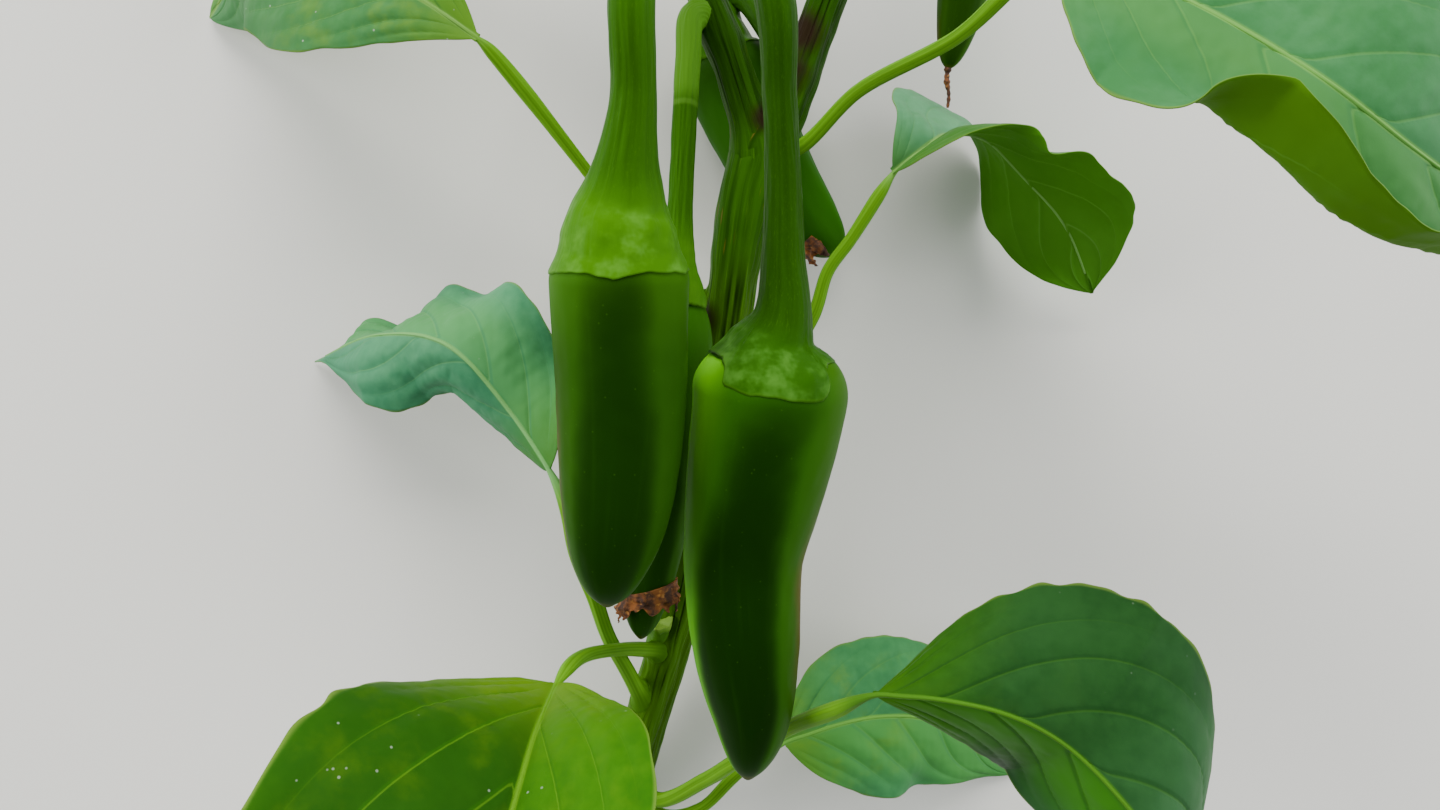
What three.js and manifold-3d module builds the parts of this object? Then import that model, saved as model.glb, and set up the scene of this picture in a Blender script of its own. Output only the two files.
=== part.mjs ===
// Fruiting stem of a chilli pepper plant with unripe pods and its leaves, cut and lying on its back.
// Millimetres. In the layout +X is to the right of the plant, +Y is up along it as it grew, and +Z is
// the side that lies uppermost. The group is shifted at the end, so that the part rests on Z = 0.
import * as THREE from "three";
import { mergeVertices } from "three/addons/utils/BufferGeometryUtils.js";
import Module from "manifold-3d";

const wasm = await Module();
wasm.setup();

// Where the layout's own origin lies in the part's frame
const shift = [-7.5, -12.3, 57.54];

// Clearance between neighbouring pieces
const clearance = 0.3;

// How finely the pieces are faceted: sides round, and rings along or between two stations
const facets = {
  limb: { sides: 20, rings: 2 },
  stalk: { sides: 12, rings: 2 },
  petiole: { sides: 8, rings: 2 },
  pod: { sides: 16, rings: 14 },
  blade: { across: 6, along: 16 },
};

// How far the rounded ribs of a limb stand out, as a share of its radius
const ribHeight = 0.06;

// The pods' common form, as shares of a pod's radius and length
const podForm = { fullness: 1.06, tipPower: 5, tipBluntness: 0.6, waistAt: 0.5, waistSpread: 0.14 };

// The leaves' common form, where a leaf gives none of its own: the blade's swell, its halves' shares of
// its width and how steady its direction is. Then its least half width at base and tip, how far the
// waves of its two margins are out of step, and the half width from which they are full.
const bladeForm = {
  swell: 1.8,
  share: { right: 1, left: 1 },
  steady: 0.004,
  leastBase: 0.9,
  leastTip: 0.35,
  waveLag: 1.3,
  waveFrom: 6,
};
const bladeThickness = 1.1;

// Radii of a leaf's stalk at the limb, at the blade and where it ends as a midrib, and how far that
// midrib lies under the blade, at these shares of the blade's length
const petioleForm = { limb: 1.7, blade: 1.2, midrib: 0.7, sunk: 0.4, under: [0.01, 0.1, 0.25] };

const skins = {
  stem: { color: 0x3f6b12, roughness: 0.55, metalness: 0 },
  pod: { color: 0x1f5208, roughness: 0.35, metalness: 0 },
  stalk: { color: 0x4c8a1c, roughness: 0.5, metalness: 0 },
  leaf: { color: 0x3f7f35, roughness: 0.6, metalness: 0 },
};

// Each limb is a list of stations along its centre line: x, y, z and radius
const limbs = {
  main_stem: {
    stations: [
      [-24.4, -95.4, -52.6, 5.1],
      [-19.8, -80.3, -49.4, 4.9],
      [-15.6, -66.5, -45.5, 4.6],
      [-11.3, -52.2, -41.5, 4.6],
      [-6.3, -32.3, -36.5, 4.6],
      [-1.6, -5.1, -32, 4.7],
      [2.4, 24.2, -29, 4.8],
      [5, 41.4, -29.5, 5],
      [7.6, 51.6, -30, 5.2],
      [8.6, 56.5, -30, 4.4],
    ],
    ribs: 5,
  },
  left_branch: {
    stations: [
      [7.2, 50, -30, 4],
      [4.5, 61.7, -30, 3.9],
      [1.2, 71.9, -30, 3.8],
      [-2.6, 82, -30, 3.7],
      [-9.7, 99.7, -29, 3.6],
      [-15.4, 115.3, -28, 3.7],
      [-19.2, 125.5, -28, 3.2],
    ],
    ribs: 5,
  },
  right_branch: {
    stations: [
      [8.6, 48, -30, 3.9],
      [12.8, 58.2, -30.5, 4.2],
      [15.7, 66.1, -31, 4.1],
      [18.5, 74, -31.5, 4],
      [21.7, 82.7, -32, 3.9],
      [30, 105.7, -33, 3.7],
      [37.4, 126.5, -34, 3.7],
      [40.6, 136, -34, 3.2],
    ],
    ribs: 5,
  },
};

// The stub of a side shoot that broke off, low on the stem
const brokenShoot = {
  stations: [
    [-11.3, -50.2, -41.5, 1.9],
    [-12.6, -47.2, -37.5, 1.7],
    [-13.2, -44.6, -35, 1.8],
  ],
};

// Each pod: its bent axis from the top to the tip, its greatest radius, how far it tapers, how soon its
// shoulder is full (a share of its length), and how deep its waist is
const pods = {
  front_right: {
    axis: [
      [8.3, 12, 3], [8.2, 0.9, 1], [6, -13.2, -1], [3.9, -27.6, -4],
      [4.7, -44.2, -6], [5.8, -57.4, -8], [5.1, -67.9, -9],
    ],
    radius: 13.4,
    taper: 0.36,
    shoulder: 0.13,
    waist: 0.06,
  },
  front_left: {
    axis: [
      [-16.2, 27.8, 15], [-16.3, 17.1, 13], [-16.2, 0.8, 10], [-17.1, -15.9, 8],
      [-18.4, -26.2, 6], [-19.2, -33.8, 5],
    ],
    radius: 11,
    taper: 0.2,
    shoulder: 0.13,
    waist: 0,
  },
  behind_left: {
    axis: [
      [-8.2, 23.2, -17], [-9.6, 9.6, -19], [-11.3, -8.7, -21], [-13.4, -26.6, -24],
      [-15.7, -46.1, -26],
    ],
    radius: 8.2,
    taper: 0.25,
    shoulder: 0.22,
    waist: 0,
  },
  behind_stem: {
    axis: [
      [0, 78.8, -46.4], [5.4, 65.2, -47.2], [13.5, 48.9, -47.8],
      [20.7, 39.2, -48.4], [28.6, 31.3, -49],
    ],
    radius: 10.3,
    taper: 0.3,
    shoulder: 0.16,
    waist: 0,
  },
  upper_right: {
    axis: [
      [53.6, 112.3, -30], [51.6, 98.2, -30], [49.2, 82.3, -31], [46.6, 68.8, -32],
    ],
    radius: 6.2,
    taper: 0.3,
    shoulder: 0.16,
    waist: 0,
  },
};

// Each stalk runs from its limb to the rim of the cup that holds the top of its pod: x, y, z and radius
const stalks = {
  front_right: {
    limb: "left_branch",
    stations: [
      [-10.6, 101.8, -29, 3.4],
      [-4.5, 97, -16, 3.1],
      [4.4, 80.5, 4, 3.2],
      [9, 66.6, 11, 3.4],
      [10, 51, 8, 2.9],
      [10.7, 36.5, 5.5, 3.2],
      [10.8, 24.7, 4.5, 3.9],
      [10.3, 18.5, 4, 5.3],
      [9.4, 14.2, 3.6, 7.6],
      [8.6, 10, 3, 10.2],
      [8.4, 7.8, 2.7, 11],
    ],
  },
  front_left: {
    limb: "left_branch",
    stations: [
      [-15.8, 116.5, -28, 3.8],
      [-13.6, 105, -10, 3.5],
      [-12.4, 82, 18, 3.6],
      [-13.4, 61, 26, 3.6],
      [-13.4, 48.2, 22, 3.6],
      [-14.1, 42.5, 20, 4.3],
      [-14.8, 38.1, 18.5, 5.2],
      [-15.4, 34, 17, 6.7],
      [-15.9, 30.9, 16, 8],
      [-16.1, 27.7, 15.5, 9.2],
      [-16.2, 22.6, 14.4, 11.4],
    ],
  },
  behind_left: {
    limb: "left_branch",
    stations: [
      [0.8, 73.4, -30, 2.8],
      [-3.2, 78.2, -29, 2.6],
      [-5.6, 77, -26, 2.6],
      [-6.3, 67.6, -23, 2.5],
      [-7, 53.4, -21, 2.4],
      [-7.7, 36.4, -18.5, 2.5],
      [-8, 27.3, -17.5, 3.4],
      [-8.3, 21, -17, 5.6],
    ],
  },
  behind_stem: {
    limb: "right_branch",
    stations: [
      [15.4, 66, -31, 2.8],
      [9.6, 79.4, -38, 2.5],
      [5, 87.5, -44, 2.7],
      [1.4, 88.4, -46.5, 3.2],
      [-0.2, 83.8, -46.5, 5.2],
      [0.3, 76.4, -46, 7.8],
    ],
  },
  upper_right: {
    limb: "right_branch",
    stations: [
      [37.6, 127.3, -34, 2.6],
      [43.7, 133.5, -32, 2.4],
      [50.2, 132.6, -30, 2.5],
      [53.4, 123.5, -30, 2.8],
      [53.8, 115.8, -30, 4.6],
      [53.5, 109.8, -30, 5.8],
    ],
  },
};

// Each leaf: its petiole from limb to blade, its midrib from the blade's base to its tip, the blade's
// width, where it is widest, and angles in degrees that are spread evenly from base to tip. Roll turns
// the whole blade, fold lifts each half, and curl bends each half on towards its margin. Steady is the
// share of the midrib, either way, that gives the blade its direction. Share is each half's part of the
// width, and a larger swell draws the blade out more at both ends.
const leaves = {
  upper_left: {
    petiole: [
      [-1.4, 17.2, -29.8], [-8, 25.5, -31.5], [-16.3, 33.5, -30],
      [-26.2, 46.1, -24], [-42.4, 65.6, -12],
    ],
    midrib: [
      [-44.5, 67.5, -10], [-57, 75.5, -9], [-75.5, 82.5, -18], [-93, 93, -31],
      [-116, 88, -56.6],
    ],
    width: 36,
    widest: 0.5,
    steady: 0.2,
    roll: [-4, -2, -4],
    fold: { right: [0], left: [10, 4, 0] },
    curl: { right: [-20], left: [-18] },
    wave: { height: 1, count: 3, phase: 0 },
  },
  middle_left: {
    petiole: [
      [-15.6, -66.4, -45], [-18.5, -55.9, -34], [-22, -45.5, -24],
      [-24.1, -36.5, -18], [-27, -27.7, -15], [-28.7, -19.8, -15],
    ],
    midrib: [
      [-32.4, -12.3, -15], [-40, -1.7, -18], [-51.5, 11, -18], [-70, 14.5, -33],
      [-92, 10, -56.6],
    ],
    width: 34,
    widest: 0.37,
    steady: 0.16,
    roll: [0, -20, -75, -55],
    fold: { right: [12, -10], left: [-45, -52, 12] },
    curl: { right: [0], left: [-58] },
    wave: { height: 3, count: 4, phase: 0.3 },
  },
  lower_left: {
    petiole: [
      [-11.3, -52.6, -41.5], [-16, -47.5, -30], [-20.1, -46.1, -18],
      [-24.7, -45.1, -6], [-26.6, -46, 1],
    ],
    midrib: [
      [-27.9, -47.3, 5], [-28, -50, 27], [-29, -57, 39.5], [-31, -66, 51],
      [-33, -84, 52], [-36, -102, 43], [-38, -112, 32],
    ],
    width: 65,
    widest: 0.47,
    share: { right: 1, left: 0.69 },
    steady: 0.12,
    roll: [4, 0, 0],
    fold: {
      right: [8, 18, 26, 26, 17, 9, 3, 2, 0],
      left: [14, 26, 28, 30, 34, 32, 30, 30, 30],
    },
    curl: { right: [-12], left: [-6] },
    wave: { height: 1.5, count: 3, phase: 1 },
  },
  lower_right: {
    petiole: [
      [-19.8, -80.3, -49.4], [-14.2, -85.5, -46], [-3.1, -77.6, -35],
      [2.6, -71.8, -28], [12.4, -62.2, -18], [20.6, -53.1, 0],
    ],
    midrib: [
      [25.3, -48.3, 9], [35.6, -47.3, 16], [46.5, -49.3, 19], [56.6, -55.5, 18],
      [66, -66, 21], [75, -80.5, 12],
    ],
    width: 55,
    widest: 0.52,
    swell: 2.2,
    share: { right: 0.85, left: 1 },
    steady: 0.25,
    roll: [10, 2, 2],
    fold: { right: [-50, -57, -60, -52, -45], left: [-16, 6, -18] },
    curl: { right: [-8], left: [-32] },
    wave: { height: 1.2, count: 3, phase: 2 },
  },
  low_behind: {
    petiole: [
      [-21.5, -86, -50.4], [-12, -90, -48], [-4.3, -87.2, -45], [4.2, -77.6, -40],
    ],
    midrib: [
      [13.4, -70.3, -36], [25, -66.4, -36], [34, -65.7, -39], [45.5, -68, -44],
      [67.5, -84, -56.8],
    ],
    width: 34,
    widest: 0.38,
    steady: 0.14,
    roll: [0, 10, 4],
    fold: { right: [2, 6], left: [3, -6] },
    curl: { right: [-13], left: [-27] },
    wave: { height: 1, count: 3, phase: 0 },
  },
  middle_right: {
    petiole: [
      [-1.4, -6.1, -32], [9, 4, -31.5], [18.5, 17.6, -28], [21.6, 26.8, -27],
      [26, 33, -26], [31.6, 41.7, -25],
    ],
    midrib: [
      [34.2, 46.1, -25], [41.5, 51.5, -22], [46, 54.4, -28], [54.8, 54.8, -34],
      [62.8, 48.6, -37.5], [73.1, 38.2, -40.5], [81.3, 24.5, -47.5],
    ],
    width: 41,
    widest: 0.5,
    steady: 0.1,
    roll: [0, 40, 85, 135, 185],
    fold: { right: [36, 18, -4], left: [6] },
    curl: { right: [-10], left: [-5] },
    wave: { height: 1, count: 4, phase: 0 },
  },
  upper_right: {
    petiole: [
      [8, 51.6, -30], [15.3, 50.7, -25], [25.7, 57.9, -10], [40.1, 61.9, 8],
      [46.3, 66, 19],
    ],
    midrib: [
      [50, 69.5, 26], [57, 65, 30], [67, 57.5, 35], [74.6, 52.5, 36.5],
      [84.5, 44.7, 39], [98, 36.1, 36.4], [119, 29, 24.4], [131, 24, 16],
    ],
    width: 53,
    widest: 0.42,
    roll: [12, 2, -5],
    fold: { right: [30, -4, -9], left: [0] },
    curl: { right: [-10, -12, 116, 104, 150, 60], left: [-10] },
    curlSpan: [0.45, 0.7],
    wave: { height: 1, count: 3, phase: 0 },
  },
};

const toward = new THREE.Vector3(0, 0, 1);
const radians = THREE.MathUtils.degToRad;

// Corners closer than this are one corner, and a turn smaller than this counts as this
const weld = 1e-4;
const leastTurn = 1e-3;

// The smooth curve through a list of points, whose further values it leaves aside
function curveThrough(points) {
  const corners = points.map(([x, y, z]) => new THREE.Vector3(x, y, z));
  return new THREE.CatmullRomCurve3(corners, false, "centripetal");
}

// A value between listed ones that are spread evenly from 0 to 1
function along(values, t) {
  if (values.length === 1) return values[0];
  const place = t * (values.length - 1);
  const before = Math.min(Math.floor(place), values.length - 2);
  return THREE.MathUtils.lerp(values[before], values[before + 1], place - before);
}

// Moves each corner of a geometry, and keeps only the corners and faces
function reshaped(geometry, place) {
  const corners = geometry.getAttribute("position");
  for (let i = 0; i < corners.count; i++) {
    const moved = place(corners.getX(i), corners.getY(i), corners.getZ(i));
    corners.setXYZ(i, moved.x, moved.y, moved.z);
  }
  geometry.deleteAttribute("normal");
  geometry.deleteAttribute("uv");
  return mergeVertices(geometry, weld);
}

// Cross-section frames along a curve that turn as little as they can from ring to ring
function framesAlong(curve, rings) {
  const steep = 0.7;
  let side = Math.abs(curve.getTangent(0).z) < steep ? toward : new THREE.Vector3(1, 0, 0);
  return Array.from({ length: rings + 1 }, (_, ring) => {
    const tangent = curve.getTangent(ring / rings);
    side = side.clone().addScaledVector(tangent, -side.dot(tangent)).normalize();
    const front = new THREE.Vector3().crossVectors(tangent, side);
    return { centre: curve.getPoint(ring / rings), tangent, side, front };
  });
}

// A closed tube through stations, with a flat cut at each end and, on a limb, rounded ribs along it.
// It is made larger all round by grow, to keep a space clear.
function tube({ stations, ribs = 0 }, { sides, rings: ringsPerStation }, grow = 0) {
  const rings = ringsPerStation * (stations.length - 1);
  const frames = framesAlong(curveThrough(stations), rings);
  const radii = stations.map((station) => station[3]);
  return reshaped(new THREE.CylinderGeometry(1, 1, 1, sides, rings), (x, y, z) => {
    const ring = Math.round((0.5 - y) * rings);
    const { centre, tangent, side, front } = frames[ring];
    const rib = ribs ? ribHeight * Math.cos(ribs * Math.atan2(z, x)) : 0;
    const radius = along(radii, ring / rings) * (1 + rib) + grow;
    const end = ring === 0 ? -grow : ring === rings ? grow : 0;
    return centre
      .clone()
      .addScaledVector(side, x * radius)
      .addScaledVector(front, z * radius)
      .addScaledVector(tangent, end);
  });
}

// A pod's radius: a quarter-round shoulder, an even taper, a blunt tip and a slight waist
function podRadius({ radius, taper, shoulder, waist }, t) {
  const { fullness, tipPower, tipBluntness, waistAt, waistSpread } = podForm;
  const short = Math.max(0, 1 - t / shoulder);
  const tip = Math.pow(Math.max(0, 1 - Math.pow(t, tipPower)), tipBluntness);
  const narrowing = 1 - waist * Math.exp(-Math.pow((t - waistAt) / waistSpread, 2));
  return radius * fullness * (1 - taper * t) * tip * narrowing * Math.sqrt(1 - short * short);
}

// A ball drawn out along the pod's axis, with its first pole at the pod's top
function podShape(pod, grow = 0) {
  const curve = curveThrough(pod.axis);
  const ball = new THREE.SphereGeometry(1, facets.pod.sides, facets.pod.rings);
  return reshaped(ball, (x, y, z) => {
    const t = THREE.MathUtils.clamp((1 - y) / 2, 0, 1);
    const round = Math.hypot(x, z);
    const tangent = curve.getTangentAt(t);
    const side = new THREE.Vector3().crossVectors(tangent, toward).normalize();
    const front = new THREE.Vector3().crossVectors(side, tangent);
    const centre = curve.getPointAt(t);
    if (round < weld) return centre.addScaledVector(tangent, t < 0.5 ? -grow : grow);
    const radius = (podRadius(pod, t) + grow) / round;
    return centre.addScaledVector(side, x * radius).addScaledVector(front, -z * radius);
  });
}

// Half the blade's width at t: cuneate at the base, drawn out at the tip
function halfWidth({ width, widest, swell = bladeForm.swell }, t) {
  const { leastBase, leastTip } = bladeForm;
  const rise = swell * widest;
  const fall = swell - rise;
  const full = Math.pow(widest, rise) * Math.pow(1 - widest, fall);
  const outline = (Math.pow(t, rise) * Math.pow(1 - t, fall)) / full;
  return Math.max((width / 2) * outline, THREE.MathUtils.lerp(leastBase, leastTip, t));
}

// A point of the blade: u runs from -1 at the left margin to 1 at the right, t from base to tip.
// Each half rises by its fold, and bends by its curl evenly over its curl's span.
function bladePoint(leaf, curve, u, t) {
  const { steady = bladeForm.steady, share = bladeForm.share } = leaf;
  const centre = curve.getPointAt(t);
  const tangent = curve.getPointAt(Math.min(1, t + steady));
  tangent.sub(curve.getPointAt(Math.max(0, t - steady))).normalize();
  const side = new THREE.Vector3().crossVectors(tangent, toward).normalize();
  side.applyAxisAngle(tangent, radians(-along(leaf.roll, t)));
  const face = new THREE.Vector3().crossVectors(side, tangent);
  const hand = u < 0 ? "left" : "right";
  const reach = Math.abs(u);
  const fold = radians(along(leaf.fold[hand], t));
  const curl = radians(along(leaf.curl[hand], t)) || leastTurn;
  const width = halfWidth(leaf, t) * share[hand];
  const [from, to] = (hand === "right" && leaf.curlSpan) || [0, 1];
  const plain = Math.min(reach, from);
  const bent = THREE.MathUtils.clamp((reach - from) / (to - from), 0, 1) * curl;
  const rest = Math.max(0, reach - to);
  const radius = (to - from) / curl;
  const out =
    plain * Math.cos(fold) + radius * (Math.sin(fold + bent) - Math.sin(fold)) + rest * Math.cos(fold + curl);
  const rise =
    plain * Math.sin(fold) + radius * (Math.cos(fold) - Math.cos(fold + bent)) + rest * Math.sin(fold + curl);
  const { height, count, phase } = leaf.wave;
  const lag = u < 0 ? bladeForm.waveLag : 0;
  const swing = height * Math.sin(2 * Math.PI * count * t + phase + lag);
  const ripple = swing * u * u * Math.min(1, width / bladeForm.waveFrom);
  return centre
    .addScaledVector(side, Math.sign(u) * out * width)
    .addScaledVector(face, rise * width + ripple);
}

// The blade's upward direction there, from the points beside it
function bladeNormal(leaf, curve, u, t) {
  const step = 0.004;
  const difference = (u0, t0, u1, t1) =>
    bladePoint(leaf, curve, u1, t1).sub(bladePoint(leaf, curve, u0, t0));
  const across = difference(u - step, t, u + step, t);
  const on = difference(u, Math.max(0, t - step), u, Math.min(1, t + step));
  return across.cross(on).normalize();
}

// A thin box bent to the blade, with x across it, y through it and z from its tip to its base
function bladeShape(leaf) {
  const curve = curveThrough(leaf.midrib);
  const { across, along: rows } = facets.blade;
  return reshaped(new THREE.BoxGeometry(1, 1, 1, across, 1, rows), (x, y, z) => {
    const u = 2 * x;
    const t = 0.5 - z;
    const point = bladePoint(leaf, curve, u, t);
    return point.addScaledVector(bladeNormal(leaf, curve, u, t), y * bladeThickness);
  });
}

// The petiole runs on under the blade as its midrib
function petioleShape(leaf) {
  const curve = curveThrough(leaf.midrib);
  const { limb, blade, midrib, sunk, under } = petioleForm;
  const bare = leaf.petiole.map((point, i) => {
    const share = i / (leaf.petiole.length - 1);
    return [...point, THREE.MathUtils.lerp(limb, blade, Math.min(1, 2 * share))];
  });
  const covered = under.map((t, i) => {
    const point = bladePoint(leaf, curve, 0, t).addScaledVector(bladeNormal(leaf, curve, 0, t), -sunk);
    return [...point.toArray(), THREE.MathUtils.lerp(blade, midrib, i / (under.length - 1))];
  });
  return tube({ stations: [...bare, ...covered] }, facets.petiole);
}

function solidOf(geometry) {
  const vertProperties = geometry.getAttribute("position").array;
  const triVerts = new Uint32Array(geometry.getIndex().array);
  return new wasm.Manifold(new wasm.Mesh({ numProp: 3, vertProperties, triVerts }));
}

function largestBody(solid) {
  return solid.decompose().sort((a, b) => b.volume() - a.volume())[0];
}

const plant = new THREE.Group();
plant.position.set(...shift);

function addPiece(name, solid, skin) {
  const { vertProperties, triVerts } = solid.getMesh();
  const geometry = new THREE.BufferGeometry();
  geometry.setAttribute("position", new THREE.BufferAttribute(vertProperties, 3));
  geometry.setIndex(new THREE.BufferAttribute(triVerts, 1));
  geometry.computeVertexNormals();
  const mesh = new THREE.Mesh(geometry, new THREE.MeshStandardMaterial(skins[skin]));
  mesh.name = name;
  plant.add(mesh);
}

// The limbs, each with its own space kept clear for the next
const limbTube = (name, grow) => solidOf(tube(limbs[name], facets.limb, grow));
const stub = (grow) => solidOf(tube(brokenShoot, facets.stalk, grow));
const grown = Object.fromEntries(Object.keys(limbs).map((name) => [name, limbTube(name, clearance)]));
grown.main_stem = grown.main_stem.add(stub(clearance));
const bare = {
  main_stem: limbTube("main_stem", 0).add(stub(0)),
  left_branch: largestBody(limbTube("left_branch", 0).subtract(grown.main_stem)),
  right_branch: largestBody(
    limbTube("right_branch", 0).subtract(grown.main_stem).subtract(grown.left_branch),
  ),
};
for (const [name, solid] of Object.entries(bare)) addPiece(name, solid, "stem");

// The pods, and the stalks whose cups hold their tops
for (const [place, pod] of Object.entries(pods)) {
  addPiece(`pod_${place}`, solidOf(podShape(pod)), "pod");
  const stalk = stalks[place];
  const whole = solidOf(tube(stalk, facets.stalk));
  const held = whole.subtract(solidOf(podShape(pod, clearance))).subtract(grown[stalk.limb]);
  addPiece(`stalk_${place}`, largestBody(held), "stalk");
}

// The leaves, each with its petiole fused on
for (const [place, leaf] of Object.entries(leaves)) {
  const whole = solidOf(petioleShape(leaf)).add(solidOf(bladeShape(leaf)));
  const clear = Object.values(grown).reduce((rest, limb) => rest.subtract(limb), whole);
  addPiece(`leaf_${place}`, largestBody(clear), "leaf");
}

export default plant;
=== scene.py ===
import math
import bpy
import numpy as np
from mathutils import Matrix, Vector


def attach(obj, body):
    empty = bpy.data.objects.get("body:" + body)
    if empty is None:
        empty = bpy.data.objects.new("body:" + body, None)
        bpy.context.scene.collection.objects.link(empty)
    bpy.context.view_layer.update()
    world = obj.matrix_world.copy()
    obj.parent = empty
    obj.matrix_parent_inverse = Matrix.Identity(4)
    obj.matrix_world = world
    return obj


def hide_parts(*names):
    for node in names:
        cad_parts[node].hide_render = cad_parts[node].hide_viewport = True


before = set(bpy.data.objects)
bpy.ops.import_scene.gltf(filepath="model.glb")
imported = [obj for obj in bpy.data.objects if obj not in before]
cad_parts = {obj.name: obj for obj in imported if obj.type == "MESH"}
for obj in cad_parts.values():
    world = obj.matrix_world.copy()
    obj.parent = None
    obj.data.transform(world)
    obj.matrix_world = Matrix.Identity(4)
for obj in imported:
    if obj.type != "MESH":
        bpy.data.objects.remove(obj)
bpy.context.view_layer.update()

# The fruiting stem of a chilli plant, cut and lying on its back. Sizes are millimetres in the plant's own
# layout, with +Y up along the stem as it grew and +Z to the side that lies uppermost.
mm = 0.001
layout = {
    "shift": np.array([-7.5, -12.3, 57.54]),  # where the layout's origin lies in the part's frame
    "up": np.array([0.0, 0.0, 1.0]),
}


# Numbers

# Vectors made one long
def unit(vectors):
    return vectors / np.linalg.norm(vectors, axis=-1, keepdims=True)


# 0 below low and 1 above high, and 3s² - 2s³ of the way between them
def ease(low, high, x):
    share = np.clip((x - low) / (high - low), 0, 1)
    return share * share * (3 - 2 * share)


# The value at t of a list that is spread evenly from 0 to 1
def spread(values, t):
    return np.interp(t, np.linspace(0, 1, len(values)), values)


# Smooth unevenness, mostly from -1 to 1: the sum of sine waves in seeded directions, each about size long
def unevenness(points, size, seed, count=9):
    rng = np.random.default_rng(seed)
    total = 0
    for _ in range(count):
        wave = unit(rng.normal(size=3)) * 2 * math.pi / size * rng.uniform(0.7, 1.5)
        total = total + np.sin(points @ wave + rng.uniform(0, 2 * math.pi))
    return total / math.sqrt(count)


# Unevenness of two sizes, the finer one a little weaker
def crumpled(points, coarse, fine, seed):
    return unevenness(points, coarse, seed) + 0.6 * unevenness(points, fine, seed + 1)


# Curves and frames

# A smooth curve through stations: in each span it is the cubic whose slope at a station comes from both
# neighbours, weighted by the square roots of the distances to them. A value after x, y and z, such as a
# radius, runs along with it.
class Curve:
    def __init__(self, stations, fine=80):
        q = np.array(stations, float)
        q = np.vstack([2 * q[0] - q[1], q, 2 * q[-1] - q[-2]])
        gap = np.sqrt(np.linalg.norm(np.diff(q[:, :3], axis=0), axis=1))[:, None]
        before, here, after = gap[:-2], gap[1:-1], gap[2:]
        a, b, c, d = q[:-3], q[1:-2], q[2:-1], q[3:]
        slopeB = ((b - a) / before - (c - a) / (before + here) + (c - b) / here) * here
        slopeC = ((c - b) / here - (d - b) / (here + after) + (d - c) / after) * here
        w = np.linspace(0, 1, fine, endpoint=False)[:, None, None]
        spans = b + slopeB * w + (3 * (c - b) - 2 * slopeB - slopeC) * w**2
        spans = spans + (2 * (b - c) + slopeB + slopeC) * w**3
        self.dense = np.vstack([spans.transpose(1, 0, 2).reshape(-1, q.shape[1]), q[-2]])
        steps = np.linalg.norm(np.diff(self.dense[:, :3], axis=0), axis=1)
        self.length = steps.sum()
        self.share = np.r_[0, np.cumsum(steps)] / self.length

    # Points (and what runs along with them) at shares of the length
    def at(self, t):
        return np.stack([np.interp(t, self.share, column) for column in self.dense.T], -1)

    # Unit directions there, over a step of a hundredth of the length either way
    def heading(self, t, step=0.01):
        ahead = self.at(np.clip(t + step, 0, 1))[..., :3]
        return unit(ahead - self.at(np.clip(t - step, 0, 1))[..., :3])


# The two directions across a curve: front is the upright direction less its part along the curve
def across(heading, upright):
    front = unit(upright - (heading @ upright)[..., None] * heading)
    return np.cross(heading, front), front


# Points round a curve's stations at angles, radius out: side times cosine plus front times sine
def rings(station, side, front, radius, angle):
    flat = side[:, None] * np.cos(angle)[..., None] + front[:, None] * np.sin(angle)[..., None]
    return station[:, None, :3] + radius[..., None] * flat, flat


# Even angles round a circle
def turn(count):
    return np.linspace(0, 2 * math.pi, count, endpoint=False)


# What a tube along a curve is made from, at shares of its length: its stations, its headings, the two
# directions across it, and even angles round it
def tubeFrame(curve, shares, around, upright=layout["up"]):
    heading = curve.heading(shares)
    angle = turn(around)[None, :] + 0 * shares[:, None]
    return curve.at(shares), heading, *across(heading, upright), angle


# Places on a long straight limb, so that relief which is uneven there runs lengthwise on a bent one
def unrolled(angle, rise, girth=10):
    return np.stack([np.cos(angle) * girth, np.sin(angle) * girth, rise], -1)


# A closed tube, as a grid of points in rings with the vectors that are kept with them
def closedTube(points, **fields):
    return {"points": points, "fields": fields}


# Signed distance of points from a round limb, and the directions away from it: from the nearest of its
# centres, less the radius there
def limbDistance(points, curve, samples=160):
    flat = points.reshape(-1, 3)
    best = np.full(len(flat), np.inf)
    outward = np.zeros_like(flat)
    for x, y, z, r in curve.at(np.linspace(0, 1, samples)):
        off = flat - (x, y, z)
        far = np.linalg.norm(off, axis=1)
        nearer = far - r < best
        best[nearer] = far[nearer] - r
        outward[nearer] = off[nearer] / np.maximum(far[nearer], 0.01)[:, None]
    return best.reshape(points.shape[:-1]), outward.reshape(points.shape)


# Swells a surface where it nears a limb, so that the two run into each other in a round web. At a distance
# s within reach k it moves out by k/4 (1 - s/k)², between its own outward direction and the limb's.
def webbed(points, outward, curve, reach, leastSize=0.35):
    s, toLimb = limbDistance(points, curve)
    share = np.clip(1 - np.abs(s) / reach, 0, 1)
    mixed = outward * (1 - share / 2)[..., None] + toLimb * (share / 2)[..., None]
    size = np.maximum(np.linalg.norm(mixed, axis=-1, keepdims=True), leastSize)
    return points + mixed / size**2 * (reach / 4 * share**2)[..., None]


# Meshes

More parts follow.
